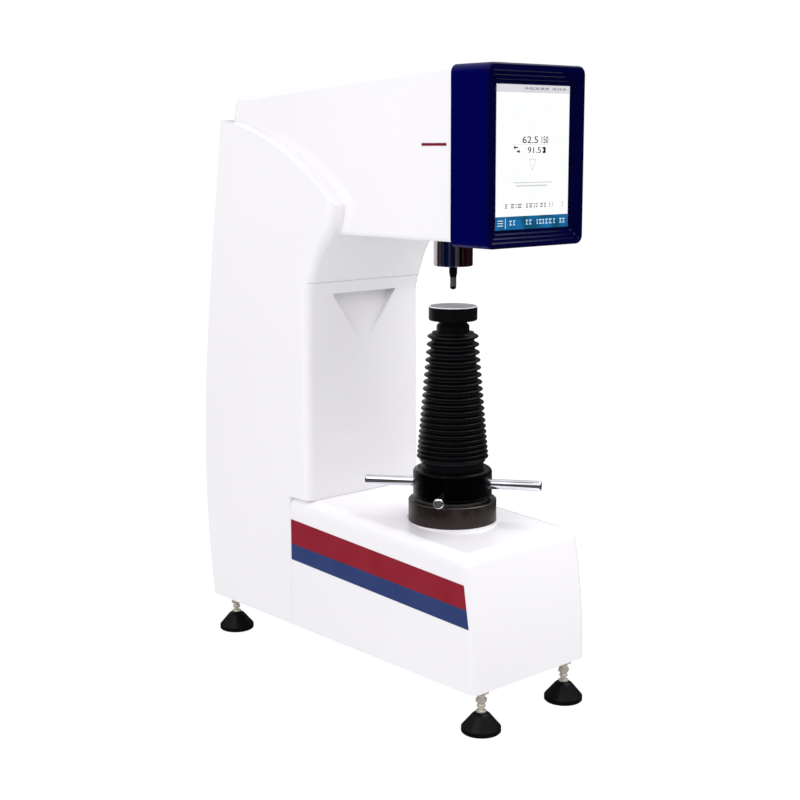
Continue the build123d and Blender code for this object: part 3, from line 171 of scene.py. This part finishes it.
# Cut vinyl film: a deeper red than the strips, and duller.
red_vinyl = mottled("red_vinyl_mark", [(0.3, "#74122A"), (0.7, "#7C162E")], 0.3, 0.004, 0.00001,
                    Specular_IOR_Level=0.12)
# Black oxide on turned steel: brown-black, satin, with the tool's rings still in it.
black_oxide = turned("black_oxide_steel", [(0.35, "#443C3A"), (0.65, "#4E4644")], 0.38, 0.0006, 0.00002)
# The same steel oiled: nearly black, and glossier.
black_nut = turned("oiled_black_steel", [(0.35, "#0A0A0D"), (0.65, "#121215")], 0.3, 0.0006, 0.00001)
# Phosphated steel: dead black, mirroring far less than the oiled nut.
black_phosphate = mottled("black_phosphated_steel", [(0.3, "#050507"), (0.7, "#0A0A0D")], 0.3, 0.0006,
                          0.000006, Specular_IOR_Level=0.1)
# Hard chrome over ground bar: bright, with hair-fine scratches.
chrome = mottled("hard_chrome", [(0.35, "#D8D8DE"), (0.65, "#E6E6EC")], 0.07, 0.0008, 0.000002, 1.0)
# Bright nickel: a little warmer and softer than chrome.
nickel = mottled("bright_nickel", [(0.35, "#E6DDCE"), (0.65, "#F4ECE0")], 0.2, 0.0008, 0.00001, 0.55)
# Hard moulded rubber: nearly black, with a soft sheen and a fine grain.
pad_rubber = mottled("hard_pad_rubber", [(0.3, "#08080A"), (0.7, "#0E0E12")], 0.34, 0.0012, 0.00002,
                     Specular_IOR_Level=0.1)
# Moulded nylon: black and satin, with the mould's spark grain.
black_nylon = mottled("moulded_black_nylon", [(0.3, "#07070A"), (0.7, "#0C0C10")], 0.36, 0.0007, 0.00002,
                      Specular_IOR_Level=0.14)
# Primed castings: matt grey over the coarse grain of the sand.
cast_iron = mottled("primed_cast_iron", [(0.3, "#7B7F82"), (0.7, "#8C9094")], 0.55, 0.0016, 0.00012)
# Zinc plate on sheet steel: a pale metal with soft clouding.
zinc_sheet = mottled("zinc_plated_sheet", [(0.3, "#AEB2B8"), (0.7, "#C4C8CE")], 0.32, 0.004, 0.00001, 1.0)
# Milled aluminium: a very pale metal with a fine tooth.
milled_aluminium = mottled("milled_aluminium", [(0.3, "#C6C8CC"), (0.7, "#D6D8DC")], 0.3, 0.0006, 0.00001,
                           1.0)
# Ground steel: mid grey with close, faint lines.
ground_steel = turned("ground_steel", [(0.3, "#A6A8AC"), (0.7, "#BCBEC2")], 0.24, 0.0004, 0.000006)
# Turned stainless: lighter and a little duller.
cell_steel = turned("turned_stainless", [(0.3, "#B4B6BA"), (0.7, "#C8CACE")], 0.28, 0.0005, 0.000008)
# Reamed bronze: brown gold with faint lines.
bronze = turned("reamed_bronze", [(0.3, "#A87B3E"), (0.7, "#BE9150")], 0.3, 0.0005, 0.000008)
# Solder mask: smooth green with half a gloss.
solder_mask = mottled("green_solder_mask", [(0.3, "#0B4A22"), (0.7, "#12602E")], 0.35, 0.0015, 0.00002)


def normal_part(tree, axis):
    """How far the surface faces along an axis of the machine, from -1 to 1."""
    return add(tree, "SeparateXYZ", links={"Vector": add(tree, "TexCoord").outputs["Normal"]}).outputs[axis]


def facing(tree, axis, start_at, full_at):
    """1 where the surface faces along an axis of the machine, falling to 0 as it turns away."""
    return add(tree, "MapRange", {"From Min": start_at, "From Max": full_at},
               {"Value": normal_part(tree, axis)}).outputs["Result"]


def blended(tree, share, low, high):
    """A colour that goes from low to high with the share."""
    mixed = add(tree, "Mix", {6: linear(low), 7: linear(high)}, {"Factor": share}, data_type="RGBA")
    return mixed.outputs[2]


def two_tone_anvil():
    """Blackened steel ground bright on top: circular lines there, a rim painted near white as a highlight,
    and a satin black side.
    """
    made, tree, shader, place = start("ground_top_anvil_steel", 0.35, Specular_IOR_Level=0.12)
    on_top = facing(tree, "Z", 0.15, 0.3)
    flat = facing(tree, "Z", 0.9, 0.99)
    ring = add(tree, "TexWave", {"Scale": 1 / ANVIL_PITCH / WAVE_TURN, "Distortion": 1.0, "Detail": 2.0},
               {"Vector": about_spindle(tree, place)}, wave_type="RINGS", rings_direction="Z")
    # painted highlight: the sloping rim round the top is painted near white, brighter than the grey flat top
    top = blended(tree, flat, "#F4F2F4", "#B4B2B6")
    whole = add(tree, "Mix", {6: linear("#08080A")}, {"Factor": on_top, 7: top}, data_type="RGBA")
    tree.links.new(whole.outputs[2], shader.inputs["Base Color"])
    cloud = add(tree, "TexNoise", {"Scale": 1 / SATIN_CLOUD, "Detail": 3.0}, {"Vector": place}).outputs["Fac"]
    vary(tree, shader, cloud, 0.3, 0.42)
    relief(tree, shader, ring.outputs["Fac"], 0.00001, 0.4)
    return made


def rubber_with_painted_crest_highlight():
    """Moulded black rubber with a painted highlight: its upright crests are painted grey."""
    made, tree, shader, place = start("moulded_rubber", 0.36, Specular_IOR_Level=0.1)
    slope = add(tree, "Math", links={0: normal_part(tree, "Z")}, operation="ABSOLUTE").outputs["Value"]
    # painted highlight: faces that look sideways, the upright crests, are painted grey
    crest = add(tree, "MapRange", {"From Min": 0.75, "From Max": 0.25}, {"Value": slope}).outputs["Result"]
    tree.links.new(blended(tree, crest, "#040406", "#1C1C1F"), shader.inputs["Base Color"])
    cloud = add(tree, "TexNoise", {"Scale": 1 / SATIN_CLOUD, "Detail": 3.0}, {"Vector": place}).outputs["Fac"]
    grain = add(tree, "TexNoise", {"Scale": 1 / RUBBER_GRAIN}, {"Vector": place}).outputs["Fac"]
    vary(tree, shader, cloud, 0.3, 0.42)
    relief(tree, shader, grain, 0.00002)
    return made


def navy_with_painted_front_shade():
    """Polished navy ABS with painted shade: the faces of its front frame are painted darker than its sides.
    """
    made, tree, shader, place = start("polished_navy_abs", 0.14, Coat_Weight=0.02, Coat_Roughness=0.04,
                                      Specular_IOR_Level=0.07)
    # painted shade: faces that look forward are painted a darker navy
    painted_front_shade = facing(tree, "Y", -0.3, -0.5)
    tree.links.new(blended(tree, painted_front_shade, "#00004A", "#020230"), shader.inputs["Base Color"])
    cloud = add(tree, "TexNoise", {"Scale": 1 / NAVY_CLOUD}, {"Vector": place}).outputs["Fac"]
    grain = add(tree, "TexNoise", {"Scale": 1 / NAVY_GRAIN}, {"Vector": place}).outputs["Fac"]
    vary(tree, shader, cloud, 0.12, 0.16)
    relief(tree, shader, grain, 0.000004)
    return made


# Painted reflections in bands up the sleeve: the mirrored studio as pale, blue, brown and dark bands, with
# light and dark lines between them.
PALE_BAND, BLUE, BROWN, DARK, LIGHT_LINE = "#D9CDD2", "#243E90", "#5A2229", "#0E0910", "#C4BECA"
PAINTED_REFLECTION_BANDS = [(0.0, BROWN), (0.2, PALE_BAND), (0.335, PALE_BAND), (0.35, DARK), (0.37, LIGHT_LINE), (0.39, DARK), (0.41, BLUE),
          (0.485, BLUE), (0.495, DARK), (0.51, LIGHT_LINE), (0.522, LIGHT_LINE), (0.54, DARK), (0.58, BROWN),
          (0.75, BROWN), (0.85, BLUE)]        # (share of a turn, colour)
REFLECTION_TURN = 129.0                           # degrees that put the middle of the turn in front, to the left
REFLECTION_STREAKS = 34.0                                # paler streaks of painted reflection round the sleeve


def sleeve_with_painted_reflections():
    """Hardened steel ground lengthwise, with painted reflections of the studio running in bands and streaks
    up the sleeve.
    """
    made, tree, shader, place = start("hard_chrome_with_painted_reflections", 0.22, 1.0)
    turn = add(tree, "Mapping", {"Rotation": (0.0, 0.0, radians(REFLECTION_TURN))},
               {"Vector": about_spindle(tree, place)})
    parts = add(tree, "SeparateXYZ", links={"Vector": turn.outputs["Vector"]})
    angle = add(tree, "Math", links={0: parts.outputs["Y"], 1: parts.outputs["X"]}, operation="ARCTAN2")
    share = add(tree, "MapRange", {"From Min": -pi, "From Max": pi}, {"Value": angle.outputs["Value"]})
    # painted reflection: a colour ramp by the angle round the sleeve stands for the studio mirrored in it
    ramp = add(tree, "ValToRGB", links={"Fac": share.outputs["Result"]})
    fill(ramp, PAINTED_REFLECTION_BANDS)
    streak = add(tree, "TexNoise", {"Scale": REFLECTION_STREAKS}, {"W": share.outputs["Result"]},
                 noise_dimensions="1D").outputs["Fac"]
    pale = add(tree, "MapRange", {"From Min": 0.52, "From Max": 0.68, "To Max": 0.35}, {"Value": streak})
    mixed = add(tree, "Mix", {7: linear(LIGHT_LINE)}, {"Factor": pale.outputs["Result"], 6: ramp.outputs["Color"]},
                data_type="RGBA")
    tree.links.new(mixed.outputs[2], shader.inputs["Base Color"])
    vary(tree, shader, streak, 0.18, 0.26)
    return made


def lit(name, stops, glow):
    """Part of the lit screen under its cover glass, with the panel's slight unevenness."""
    made, tree, shader, place = start(name, 0.08, Base_Color=linear("#08090C"), Emission_Strength=glow)
    blotches = {"Scale": 1 / SCREEN_CLOUD, "Detail": 1.0}
    cloud = add(tree, "TexNoise", blotches, {"Vector": place}).outputs["Fac"]
    tint(tree, shader, cloud, stops, "Emission Color")
    vary(tree, shader, cloud, 0.06, 0.1)
    return made


# The display's tones: each glows evenly, and the border printed round them stays black.
screen_white = lit("lit_screen_white", [(0.3, "#FCFDFD"), (0.7, "#FFFFFF")], 1.0)
screen_grey = lit("lit_screen_grey", [(0.3, "#D6D6DC"), (0.7, "#DEDEE4")], 1.0)
screen_blue = lit("lit_screen_blue", [(0.35, "#0C5274"), (0.65, "#1A74B4")], 0.9)
screen_ink = lit("lit_screen_ink", [(0.3, "#0C0C10"), (0.7, "#16161C")], 1.0)
screen_faint = lit("lit_screen_faint", [(0.3, "#C8CACE"), (0.7, "#D2D4D8")], 1.0)
screen_light = lit("lit_screen_light", [(0.3, "#BFE9FF"), (0.7, "#EAF9FF")], 1.0)
screen_mask = mottled("black_printed_border", [(0.3, "#050507"), (0.7, "#08080B")], 0.12, 0.002, 0.000002)

# The record's material slots, then the nodes that differ from their slot.
SLOT_FINISH = {
    "white_shell": white_enamel, "plated_steel": nickel, "red_band": red_acrylic, "blue_band": blue_acrylic,
    "navy_plastic": navy_with_painted_front_shade(), "screen_glass": screen_white, "screen_face": screen_white,
    "circuit_board": solder_mask, "cast_iron": cast_iron, "black_steel": black_oxide, "black_nut": black_nut,
    "ground_steel": ground_steel, "cell_steel": cell_steel, "chrome_bar": chrome,
    "chrome_sleeve": sleeve_with_painted_reflections(), "black_rubber": rubber_with_painted_crest_highlight(), "black_cuff": black_nylon,
    "anvil_steel": two_tone_anvil(), "bronze": bronze, "bare_aluminium": milled_aluminium,
    "panel_steel": zinc_sheet, "black_plastic": black_nylon, "pad_rubber": pad_rubber,
}
# Etched glass: pale, half clear and mirror smooth.
glass_scale = mottled("etched_glass_scale", [(0.3, "#B9CBD2"), (0.7, "#C9D8DE")], 0.08, 0.0004, 0.000004,
                      Transmission_Weight=0.3, IOR=1.52)
NODE_FINISH = {"encoder_scale": glass_scale, "indenter_chuck": black_phosphate}

for name, node in NODES.items():
    for holder in node.material_slots:
        holder.material = NODE_FINISH.get(name) or SLOT_FINISH[holder.material.name.split(".")[0]]


# ---------------------------------------------------------------- making pieces
def piece(name, mesh, finish, body, smooth_angle=None):
    """Turns a bmesh into a finished piece that rides on a body of the machine."""
    bmesh.ops.remove_doubles(mesh, verts=mesh.verts, dist=TOUCHING)
    bmesh.ops.recalc_face_normals(mesh, faces=mesh.faces)
    data = bpy.data.meshes.new(name)
    mesh.to_mesh(data)
    mesh.free()
    data.materials.append(finish)
    made = bpy.data.objects.new(name, data)
    bpy.context.scene.collection.objects.link(made)
    if smooth_angle is not None:
        data.shade_smooth()
        data.set_sharp_from_angle(angle=radians(smooth_angle))
    if body:
        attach(made, body)
    return made


def chain(mesh, points, x=0.0, y=SPINDLE_Y):
    """A line of (radius, height) points in millimetres, standing beside an upright axis."""
    line = [mesh.verts.new((x + r * MM, y, z * MM)) for r, z in points]
    edges = [mesh.edges.new(pair) for pair in zip(line, line[1:])]
    return line + edges


def spun(mesh, points, steps, x=0.0, y=SPINDLE_Y):
    """The line turned once round its upright axis."""
    bmesh.ops.spin(mesh, geom=chain(mesh, points, x, y), cent=(x, y, 0.0), axis=(0.0, 0.0, 1.0),
                   angle=2 * pi, steps=steps, use_merge=True)


# ---------------------------------------------------------------- rubber bellows, in millimetres
BELLOWS_BOTTOM, BELLOWS_TOP = 299.0, 460.0
BELLOWS_NECK = 2.5           # plain lip under the lowest fold
BELLOWS_LOW_R, BELLOWS_HIGH_R = 45.4, 31.2
BELLOWS_FOLDS = 20
PITCH_LOW, PITCH_HIGH = 5.5, 10.35
DEPTH_LOW, DEPTH_HIGH = 4.2, 5.8
BELLOWS_WALL = 1.3
BELLOWS_STEPS = 96           # faces round it
BELLOWS_SMOOTH = 60          # degrees up to which its edges shade smooth
# One fold from root to root: (share of the pitch, share of the depth in).
FOLD_SHAPE = [(0.0, 1.0), (0.1, 0.95), (0.2, 0.78), (0.29, 0.46), (0.36, 0.18), (0.43, 0.04), (0.5, 0.0),
              (0.57, 0.04), (0.64, 0.18), (0.71, 0.46), (0.8, 0.78), (0.9, 0.95)]


def bellows_piece():
    """A moulded rubber bellows, stretched most at the top: rounded crests, narrow roots and a lip."""
    line = [(BELLOWS_LOW_R - DEPTH_LOW, BELLOWS_BOTTOM)]
    foot = BELLOWS_BOTTOM + BELLOWS_NECK
    for fold in range(BELLOWS_FOLDS):
        share = (fold + 0.5) / BELLOWS_FOLDS
        pitch = PITCH_LOW + (PITCH_HIGH - PITCH_LOW) * share
        depth = DEPTH_LOW + (DEPTH_HIGH - DEPTH_LOW) * share
        for along, inward in FOLD_SHAPE:
            z = foot + along * pitch
            crest = BELLOWS_LOW_R + (BELLOWS_HIGH_R - BELLOWS_LOW_R) * (z - BELLOWS_BOTTOM) / (
                BELLOWS_TOP - BELLOWS_BOTTOM)
            line.append((crest - inward * depth, z))
        foot += pitch
    line.append((BELLOWS_HIGH_R - DEPTH_HIGH, BELLOWS_TOP))
    mesh = bmesh.new()
    spun(mesh, line, BELLOWS_STEPS)
    bmesh.ops.remove_doubles(mesh, verts=mesh.verts, dist=TOUCHING)
    bmesh.ops.recalc_face_normals(mesh, faces=mesh.faces)
    bmesh.ops.solidify(mesh, geom=mesh.faces, thickness=BELLOWS_WALL * MM)
    made = piece("rubber_bellows", mesh, SLOT_FINISH["black_rubber"], None,
                 BELLOWS_SMOOTH)
    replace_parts(made, "bellows")
    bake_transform(made)


bellows_piece()


# ---------------------------------------------------------------- lit screen, in mm from its top left
glass_low, glass_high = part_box("touch_glass")
SCREEN_LEFT = glass_low.x
SCREEN_TOP = glass_high.z
SCREEN_FACE = glass_low.y
SCREEN_WIDE, SCREEN_TALL, BORDER = 121.8, 162.0, 0.5
STATUS_TALL, MENU_TOP = 8.6, 146.6
BORDER_LIFT, PANEL_LIFT, FAINT_LIFT, FIGURE_LIFT = 0.05, 0.1, 0.12, 0.16     # how far each layer stands out
CAP_SHARE = 0.7                               # a figure's height as a share of its font's size
INNER_WIDE = SCREEN_WIDE - 2 * BORDER

# Figures: (text, left, top, height, stretch in width).
READINGS = [("62.5", 42.4, 57.3, 7.6, 1.46), ("150", 73.0, 57.3, 7.6, 0.8), ("91.5", 51.4, 69.4, 6.6, 1.42),
            ("14-02-26 08:30", 44.8, 3.0, 2.6, 1.8), ("10:24:36", 90.6, 3.0, 2.6, 1.95)]
# Plates: (left, top, width, height).
SECOND_MARK = [(76.6, 69.4, 5.0, 2.2), (78.6, 71.6, 3.0, 2.4), (76.6, 74.0, 5.0, 2.2)]
ARROWS = [(31.0, 69.2, 4.6, 1.3), (29.2, 68.3, 2.2, 3.0), (33.6, 73.6, 4.0, 1.3), (36.4, 72.7, 2.2, 3.0)]
RULES = [(25.5, 66.6, 60.4, 0.35), (29.0, 108.6, 64.5, 1.0), (33.2, 112.0, 52.0, 1.4)]
INDENTER_SIGN = [(53.8, 82.7, 12.0, 0.7), (54.8, 83.4, 0.7, 4.0), (63.9, 83.4, 0.7, 4.0),
                 (56.3, 87.4, 0.7, 3.0), (62.3, 87.4, 0.7, 3.0), (57.9, 90.4, 4.0, 0.7),
                 (59.2, 92.3, 1.4, 3.2)]
MENU_ICON = [(3.6, 150.6, 9.0, 0.9), (3.6, 153.4, 9.0, 0.9), (3.6, 156.2, 9.0, 0.9), (16.0, 148.4, 0.8, 11.6)]
# Rows of plain marks: (left, width).
SETTINGS = [(15.5, 4.5), (25.0, 6.5), (33.0, 2.0), (36.5, 7.5), (50.0, 4.0), (55.5, 6.0), (63.0, 2.5),
            (67.0, 3.0), (74.0, 5.0), (80.5, 3.5), (89.0, 2.0), (94.0, 1.2), (111.0, 1.4)]
MENU_MARKS = [(23.0, 4.0), (29.0, 3.4), (50.0, 3.6), (55.5, 4.2), (68.0, 2.0), (72.0, 4.6), (78.0, 3.0),
              (83.0, 3.8), (89.0, 5.0), (96.5, 3.0), (107.0, 4.0), (112.5, 3.6)]


def plates(mesh, rows, lift):
    """Thin plates on the screen, each given by its left, top, width and height."""
    for left, top, width, height in rows:
        place = Matrix.Translation((SCREEN_LEFT + (left + width / 2) * MM, SCREEN_FACE - lift * MM / 2,
                                    SCREEN_TOP - (top + height / 2) * MM))
        size = Matrix.Diagonal((width * MM, lift * MM, height * MM, 1.0))
        bmesh.ops.create_cube(mesh, size=1.0, matrix=place @ size)


def figures(text, left, top, height, stretch):
    """Figures as a mesh, standing on the screen."""
    curve = bpy.data.curves.new("figures", "FONT")
    curve.body = text
    curve.size = height * MM / CAP_SHARE
    curve.extrude = FIGURE_LIFT * MM / 2
    holder = bpy.data.objects.new("figures", curve)
    bpy.context.scene.collection.objects.link(holder)
    bpy.context.view_layer.update()
    data = bpy.data.meshes.new_from_object(holder.evaluated_get(bpy.context.evaluated_depsgraph_get()))
    bpy.data.objects.remove(holder)
    corner = Vector((SCREEN_LEFT + left * MM, SCREEN_FACE - FIGURE_LIFT * MM / 2,
                     SCREEN_TOP - (top + height) * MM))
    data.transform(Matrix.Translation(corner) @ Matrix.Rotation(pi / 2, 4, "X")
                   @ Matrix.Diagonal((stretch, 1.0, 1.0, 1.0)))
    return data


def screen_layer(name, mesh, finish):
    """One layer of the display as a piece of the standing body."""
    piece(name, mesh, finish, "root")


def screen_pieces():
    """What the display shows: a status bar, two readings, a help figure, a row of settings and a menu."""
    border = bmesh.new()
    upright = SCREEN_TALL - 2 * BORDER
    plates(border, [(0, 0, SCREEN_WIDE, BORDER), (0, SCREEN_TALL - BORDER, SCREEN_WIDE, BORDER),
                    (0, BORDER, BORDER, upright), (SCREEN_WIDE - BORDER, BORDER, BORDER, upright)],
           BORDER_LIFT)
    screen_layer("screen_border", border, screen_mask)

    status = bmesh.new()
    plates(status, [(BORDER, BORDER, INNER_WIDE, STATUS_TALL)], PANEL_LIFT)
    screen_layer("screen_status_bar", status, screen_grey)

    menu = bmesh.new()
    plates(menu, [(BORDER, MENU_TOP, INNER_WIDE, SCREEN_TALL - BORDER - MENU_TOP)], PANEL_LIFT)
    screen_layer("screen_menu_bar", menu, screen_blue)

    ink = bmesh.new()
    for reading in READINGS:
        ink.from_mesh(figures(*reading))
    plates(ink, SECOND_MARK + ARROWS, FIGURE_LIFT)
    for left, width in SETTINGS:
        plates(ink, [(left, 132.8, width * 0.9, 0.9), (left + 0.4, 134.7, width * 0.6, 0.8),
                     (left, 136.4, width * 0.8, 0.9)], FIGURE_LIFT)
    screen_layer("screen_figures", ink, screen_ink)

    faint = bmesh.new()
    plates(faint, RULES + INDENTER_SIGN, FAINT_LIFT)
    screen_layer("screen_help_figure", faint, screen_faint)

    light = bmesh.new()
    plates(light, MENU_ICON, FIGURE_LIFT)
    for left, width in MENU_MARKS:
        plates(light, [(left, 151.2, width, 0.9), (left + width * 0.3, 152.1, 0.9, 3.6),
                       (left, 155.7, width, 0.8)], FIGURE_LIFT)
    screen_layer("screen_menu_marks", light, screen_light)


screen_pieces()


# ---------------------------------------------------------------- small parts, in millimetres
# Lines of (radius, height) round each part's upright axis.
SHANK_FOOT = 516.4
INDENTER_SHANK = [(0.0, 535.5), (3.8, 535.5), (3.95, 533.0), (3.95, SHANK_FOOT), (0.0, SHANK_FOOT)]
END_GAP = 0.05                                # keeps the blackened end's faces clear of the shank's
INDENTER_END = [(0.0, SHANK_FOOT - END_GAP), (3.95, SHANK_FOOT - END_GAP), (3.75, 514.9 - END_GAP),
                (3.0, 513.4 - END_GAP), (1.8, 512.6 - END_GAP), (0.0, 512.3)]
INDENTER_STEPS, STUD_STEPS, THREAD_STEPS = 48, 32, 24     # faces round each of them
INDENTER_SMOOTH, STUD_SMOOTH = 40, 35         # degrees up to which their edges shade smooth

# Ball end in the pad, flange on the pad, neck, ball, groove, and the plain core up inside the thread.
STUD_LINE = [(0.0, 9.0), (3.4, 9.6), (5.0, 11.4), (5.0, 24.7), (6.2, 24.9), (6.4, 25.6), (6.2, 26.4),
             (3.2, 26.8), (3.0, 29.2), (4.4, 30.2), (5.2, 31.6), (5.2, 33.0), (4.4, 34.4), (3.6, 34.9),
             (3.6, 36.6), (4.4, 36.8), (4.4, 82.0), (0.0, 82.0)]
HEX_LOW, HEX_HIGH, HEX_FLATS, HEX_EDGE = 36.9, 41.6, 12.0, 0.6
THREAD_PITCH, THREAD_TURNS, THREAD_ROOT, THREAD_CREST = 1.5, 26, 4.3, 5.0
LEVEL = 1e-6                                  # metres; an edge that rises less lies flat
MARK_Z, MARK_TALL, MARK_THICK, MARK_SUNK = 687.3, 3.0, 1.0, 0.4


def indenter_pieces():
    """The indenter's ground shank and its blackened, rounded end."""
    shank, end = bmesh.new(), bmesh.new()
    spun(shank, INDENTER_SHANK, INDENTER_STEPS)
    made = piece("indenter_shank", shank, cell_steel, "spindle_carriage", INDENTER_SMOOTH)
    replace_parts(made, "indenter")
    spun(end, INDENTER_END, INDENTER_STEPS)
    piece("indenter_end", end, black_phosphate, "spindle_carriage", INDENTER_SMOOTH)


def hexagon(mesh, x, y):
    """The stud's hexagon, with its corners taken off at both ends."""
    corner = HEX_FLATS / 3 ** 0.5 * MM
    made = bmesh.ops.create_cone(mesh, cap_ends=True, segments=6, radius1=corner, radius2=corner,
                                 depth=(HEX_HIGH - HEX_LOW) * MM,
                                 matrix=Matrix.Translation((x, y, (HEX_LOW + HEX_HIGH) / 2 * MM)))
    rims = {e for v in made["verts"] for e in v.link_edges if abs(e.verts[0].co.z - e.verts[1].co.z) < LEVEL}
    bmesh.ops.bevel(mesh, geom=list(rims), offset=HEX_EDGE * MM, affect="EDGES", segments=2, profile=0.5,
                    material=-1)


def thread(mesh, x, y):
    """A screw thread's ridge: two sides of a triangle carried up and round the stud."""
    steps = THREAD_STEPS * THREAD_TURNS
    low = HEX_HIGH * MM
    marks = [(THREAD_ROOT, 0.0), (THREAD_CREST, THREAD_PITCH / 2), (THREAD_ROOT, THREAD_PITCH)]
    corners = [mesh.verts.new((x + r * MM, y, low + z * MM)) for r, z in marks]
    sides = [mesh.edges.new(pair) for pair in zip(corners, corners[1:])]
    bmesh.ops.spin(mesh, geom=corners + sides, cent=(x, y, 0.0), axis=(0.0, 0.0, 1.0),
                   dvec=(0.0, 0.0, THREAD_TURNS * THREAD_PITCH * MM / steps), angle=2 * pi * THREAD_TURNS,
                   steps=steps)


def stud_piece(corner):
    """One levelling stud."""
    low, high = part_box("foot_stud_" + corner)
    x, y = (low.x + high.x) / 2, (low.y + high.y) / 2
    mesh = bmesh.new()
    spun(mesh, STUD_LINE, STUD_STEPS, x, y)
    hexagon(mesh, x, y)
    thread(mesh, x, y)
    made = piece("threaded_stud_" + corner, mesh, nickel, "stud_" + corner, STUD_SMOOTH)
    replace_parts(made, "foot_stud_" + corner)


def mark_piece():
    """The two index marks on the head's sides."""
    low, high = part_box("head_marks")
    mesh = bmesh.new()
    size = Matrix.Diagonal((MARK_THICK * MM, high.y - low.y, MARK_TALL * MM, 1.0))
    for side in (low.x + MARK_SUNK * MM, high.x - MARK_SUNK * MM):
        place = Matrix.Translation((side, (low.y + high.y) / 2, MARK_Z * MM))
        bmesh.ops.create_cube(mesh, size=1.0, matrix=place @ size)
    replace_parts(piece("index_marks", mesh, red_vinyl, "root"), "head_marks")


indenter_pieces()
for corner in ("front_left", "front_right", "rear_left", "rear_right"):
    stud_piece(corner)
mark_piece()


# ---------------------------------------------------------------- studio
FLOOR_HALF = 6.0
TENT = 0.89                                   # how strongly the white tent lights the machine
GLOW, MIRRORED_GLOW = 0.93, 0.02              # the floor's glow on other things, and as they mirror it
# The tent as mirrored: how bright its dark part is, and the rises between which it comes to full white.
MIRRORED_DARK, DARK_UP_TO, FULL_FROM = 0.02, 0.12, 0.75
LAMPS = [("left_lamp", (-1.6, -0.3, 1.7), (0.0, -0.1, 0.2), 1.4, 8.5),
         ("right_lamp", (0.75, -0.5, 2.0), (0.0, -0.1, 0.2), 1.2, 22.0),
         ("top_lamp", (-0.53, -0.63, 2.4), (-0.1, -0.25, 0.7), 0.4, 3.0)]     # name, place, aim, side, watts
CAMERA_PLACE, CAMERA_LENS = (-1.200965, -1.369330, 0.686858), 63.54
CAMERA_TURN, CAMERA_DIP, CAMERA_TILT = -41.846, 10.242, -0.183                # degrees


def floor_piece():
    """A plain pale floor, lit from beneath and far wider than the machine."""
    mesh = bmesh.new()
    bmesh.ops.create_grid(mesh, x_segments=1, y_segments=1, size=FLOOR_HALF)
    data = bpy.data.meshes.new("floor")
    mesh.to_mesh(data)
    mesh.free()
    made, tree, shader, place = start("backlit_white_acrylic", 0.8)
    cloud = add(tree, "TexNoise", {"Scale": 1 / FLOOR_CLOUD}, {"Vector": place}).outputs["Fac"]
    tint(tree, shader, cloud, [(0.3, "#2A2A2B"), (0.7, "#2E2E2F")])
    tint(tree, shader, cloud, [(0.3, "#FDFCFD"), (0.7, "#FFFFFF")], "Emission Color")
    rays = add(tree, "LightPath")
    seen = add(tree, "MapRange", {"To Min": GLOW, "To Max": 1.0}, {"Value": rays.outputs["Is Camera Ray"]})
    glow = add(tree, "MapRange", {"To Max": MIRRORED_GLOW},
               {"Value": rays.outputs["Is Glossy Ray"], "To Min": seen.outputs["Result"]})
    tree.links.new(glow.outputs["Result"], shader.inputs["Emission Strength"])
    data.materials.append(made)
    floor = bpy.data.objects.new("floor", data)
    bpy.context.scene.collection.objects.link(floor)


def lamp(name, place, aim, size, power):
    """A soft square studio lamp."""
    data = bpy.data.lights.new(name, "AREA")
    data.size = size
    data.energy = power
    made = bpy.data.objects.new(name, data)
    made.location = place
    made.rotation_mode = "QUATERNION"
    made.rotation_quaternion = (Vector(aim) - Vector(place)).to_track_quat("-Z", "Y")
    bpy.context.scene.collection.objects.link(made)


def studio():
    """A white tent all round, which polished surfaces mirror as dark from eye level down, and soft lamps."""
    world = bpy.data.worlds.new("studio")
    world.use_nodes = True
    tree = world.node_tree
    tent = tree.nodes["Background"]
    tent.inputs["Color"].default_value = linear("#FBF9FC")
    tent.inputs["Strength"].default_value = TENT
    seen = add(tree, "Background", {"Color": (1.0, 1.0, 1.0, 1.0), "Strength": 1.0})
    rise = add(tree, "SeparateXYZ", links={"Vector": add(tree, "TexCoord").outputs["Generated"]}).outputs["Z"]
    ramp = add(tree, "MapRange", {"From Min": DARK_UP_TO, "From Max": FULL_FROM, "To Min": MIRRORED_DARK},
               {"Value": rise}, interpolation_type="SMOOTHSTEP")
    mirrored = add(tree, "Background", {"Strength": 1.0}, {"Color": ramp.outputs["Result"]})
    rays = add(tree, "LightPath")
    lit_by = add(tree, "MixShader", links={0: rays.outputs["Is Glossy Ray"], 1: tent.outputs[0],
                                           2: mirrored.outputs[0]})
    both = add(tree, "MixShader", links={0: rays.outputs["Is Camera Ray"], 1: lit_by.outputs[0],
                                         2: seen.outputs[0]})
    tree.links.new(both.outputs[0], tree.nodes["World Output"].inputs["Surface"])
    bpy.context.scene.world = world
    for settings in LAMPS:
        lamp(*settings)


def camera():
    """The view that the machine is shown from."""
    data = bpy.data.cameras.new("camera")
    data.lens = CAMERA_LENS
    data.sensor_width = 36.0
    made = bpy.data.objects.new("camera", data)
    turn, dip, tilt = radians(CAMERA_TURN), radians(CAMERA_DIP), radians(CAMERA_TILT)
    back = Vector((sin(turn) * cos(dip), -cos(turn) * cos(dip), sin(dip)))
    made.location = CAMERA_PLACE
    made.rotation_mode = "QUATERNION"
    made.rotation_quaternion = (-back).to_track_quat("-Z", "Y") @ Quaternion((0.0, 0.0, 1.0), tilt)
    bpy.context.scene.collection.objects.link(made)
    bpy.context.scene.camera = made


floor_piece()
studio()
camera()
bpy.context.scene.view_settings.view_transform = "Standard"
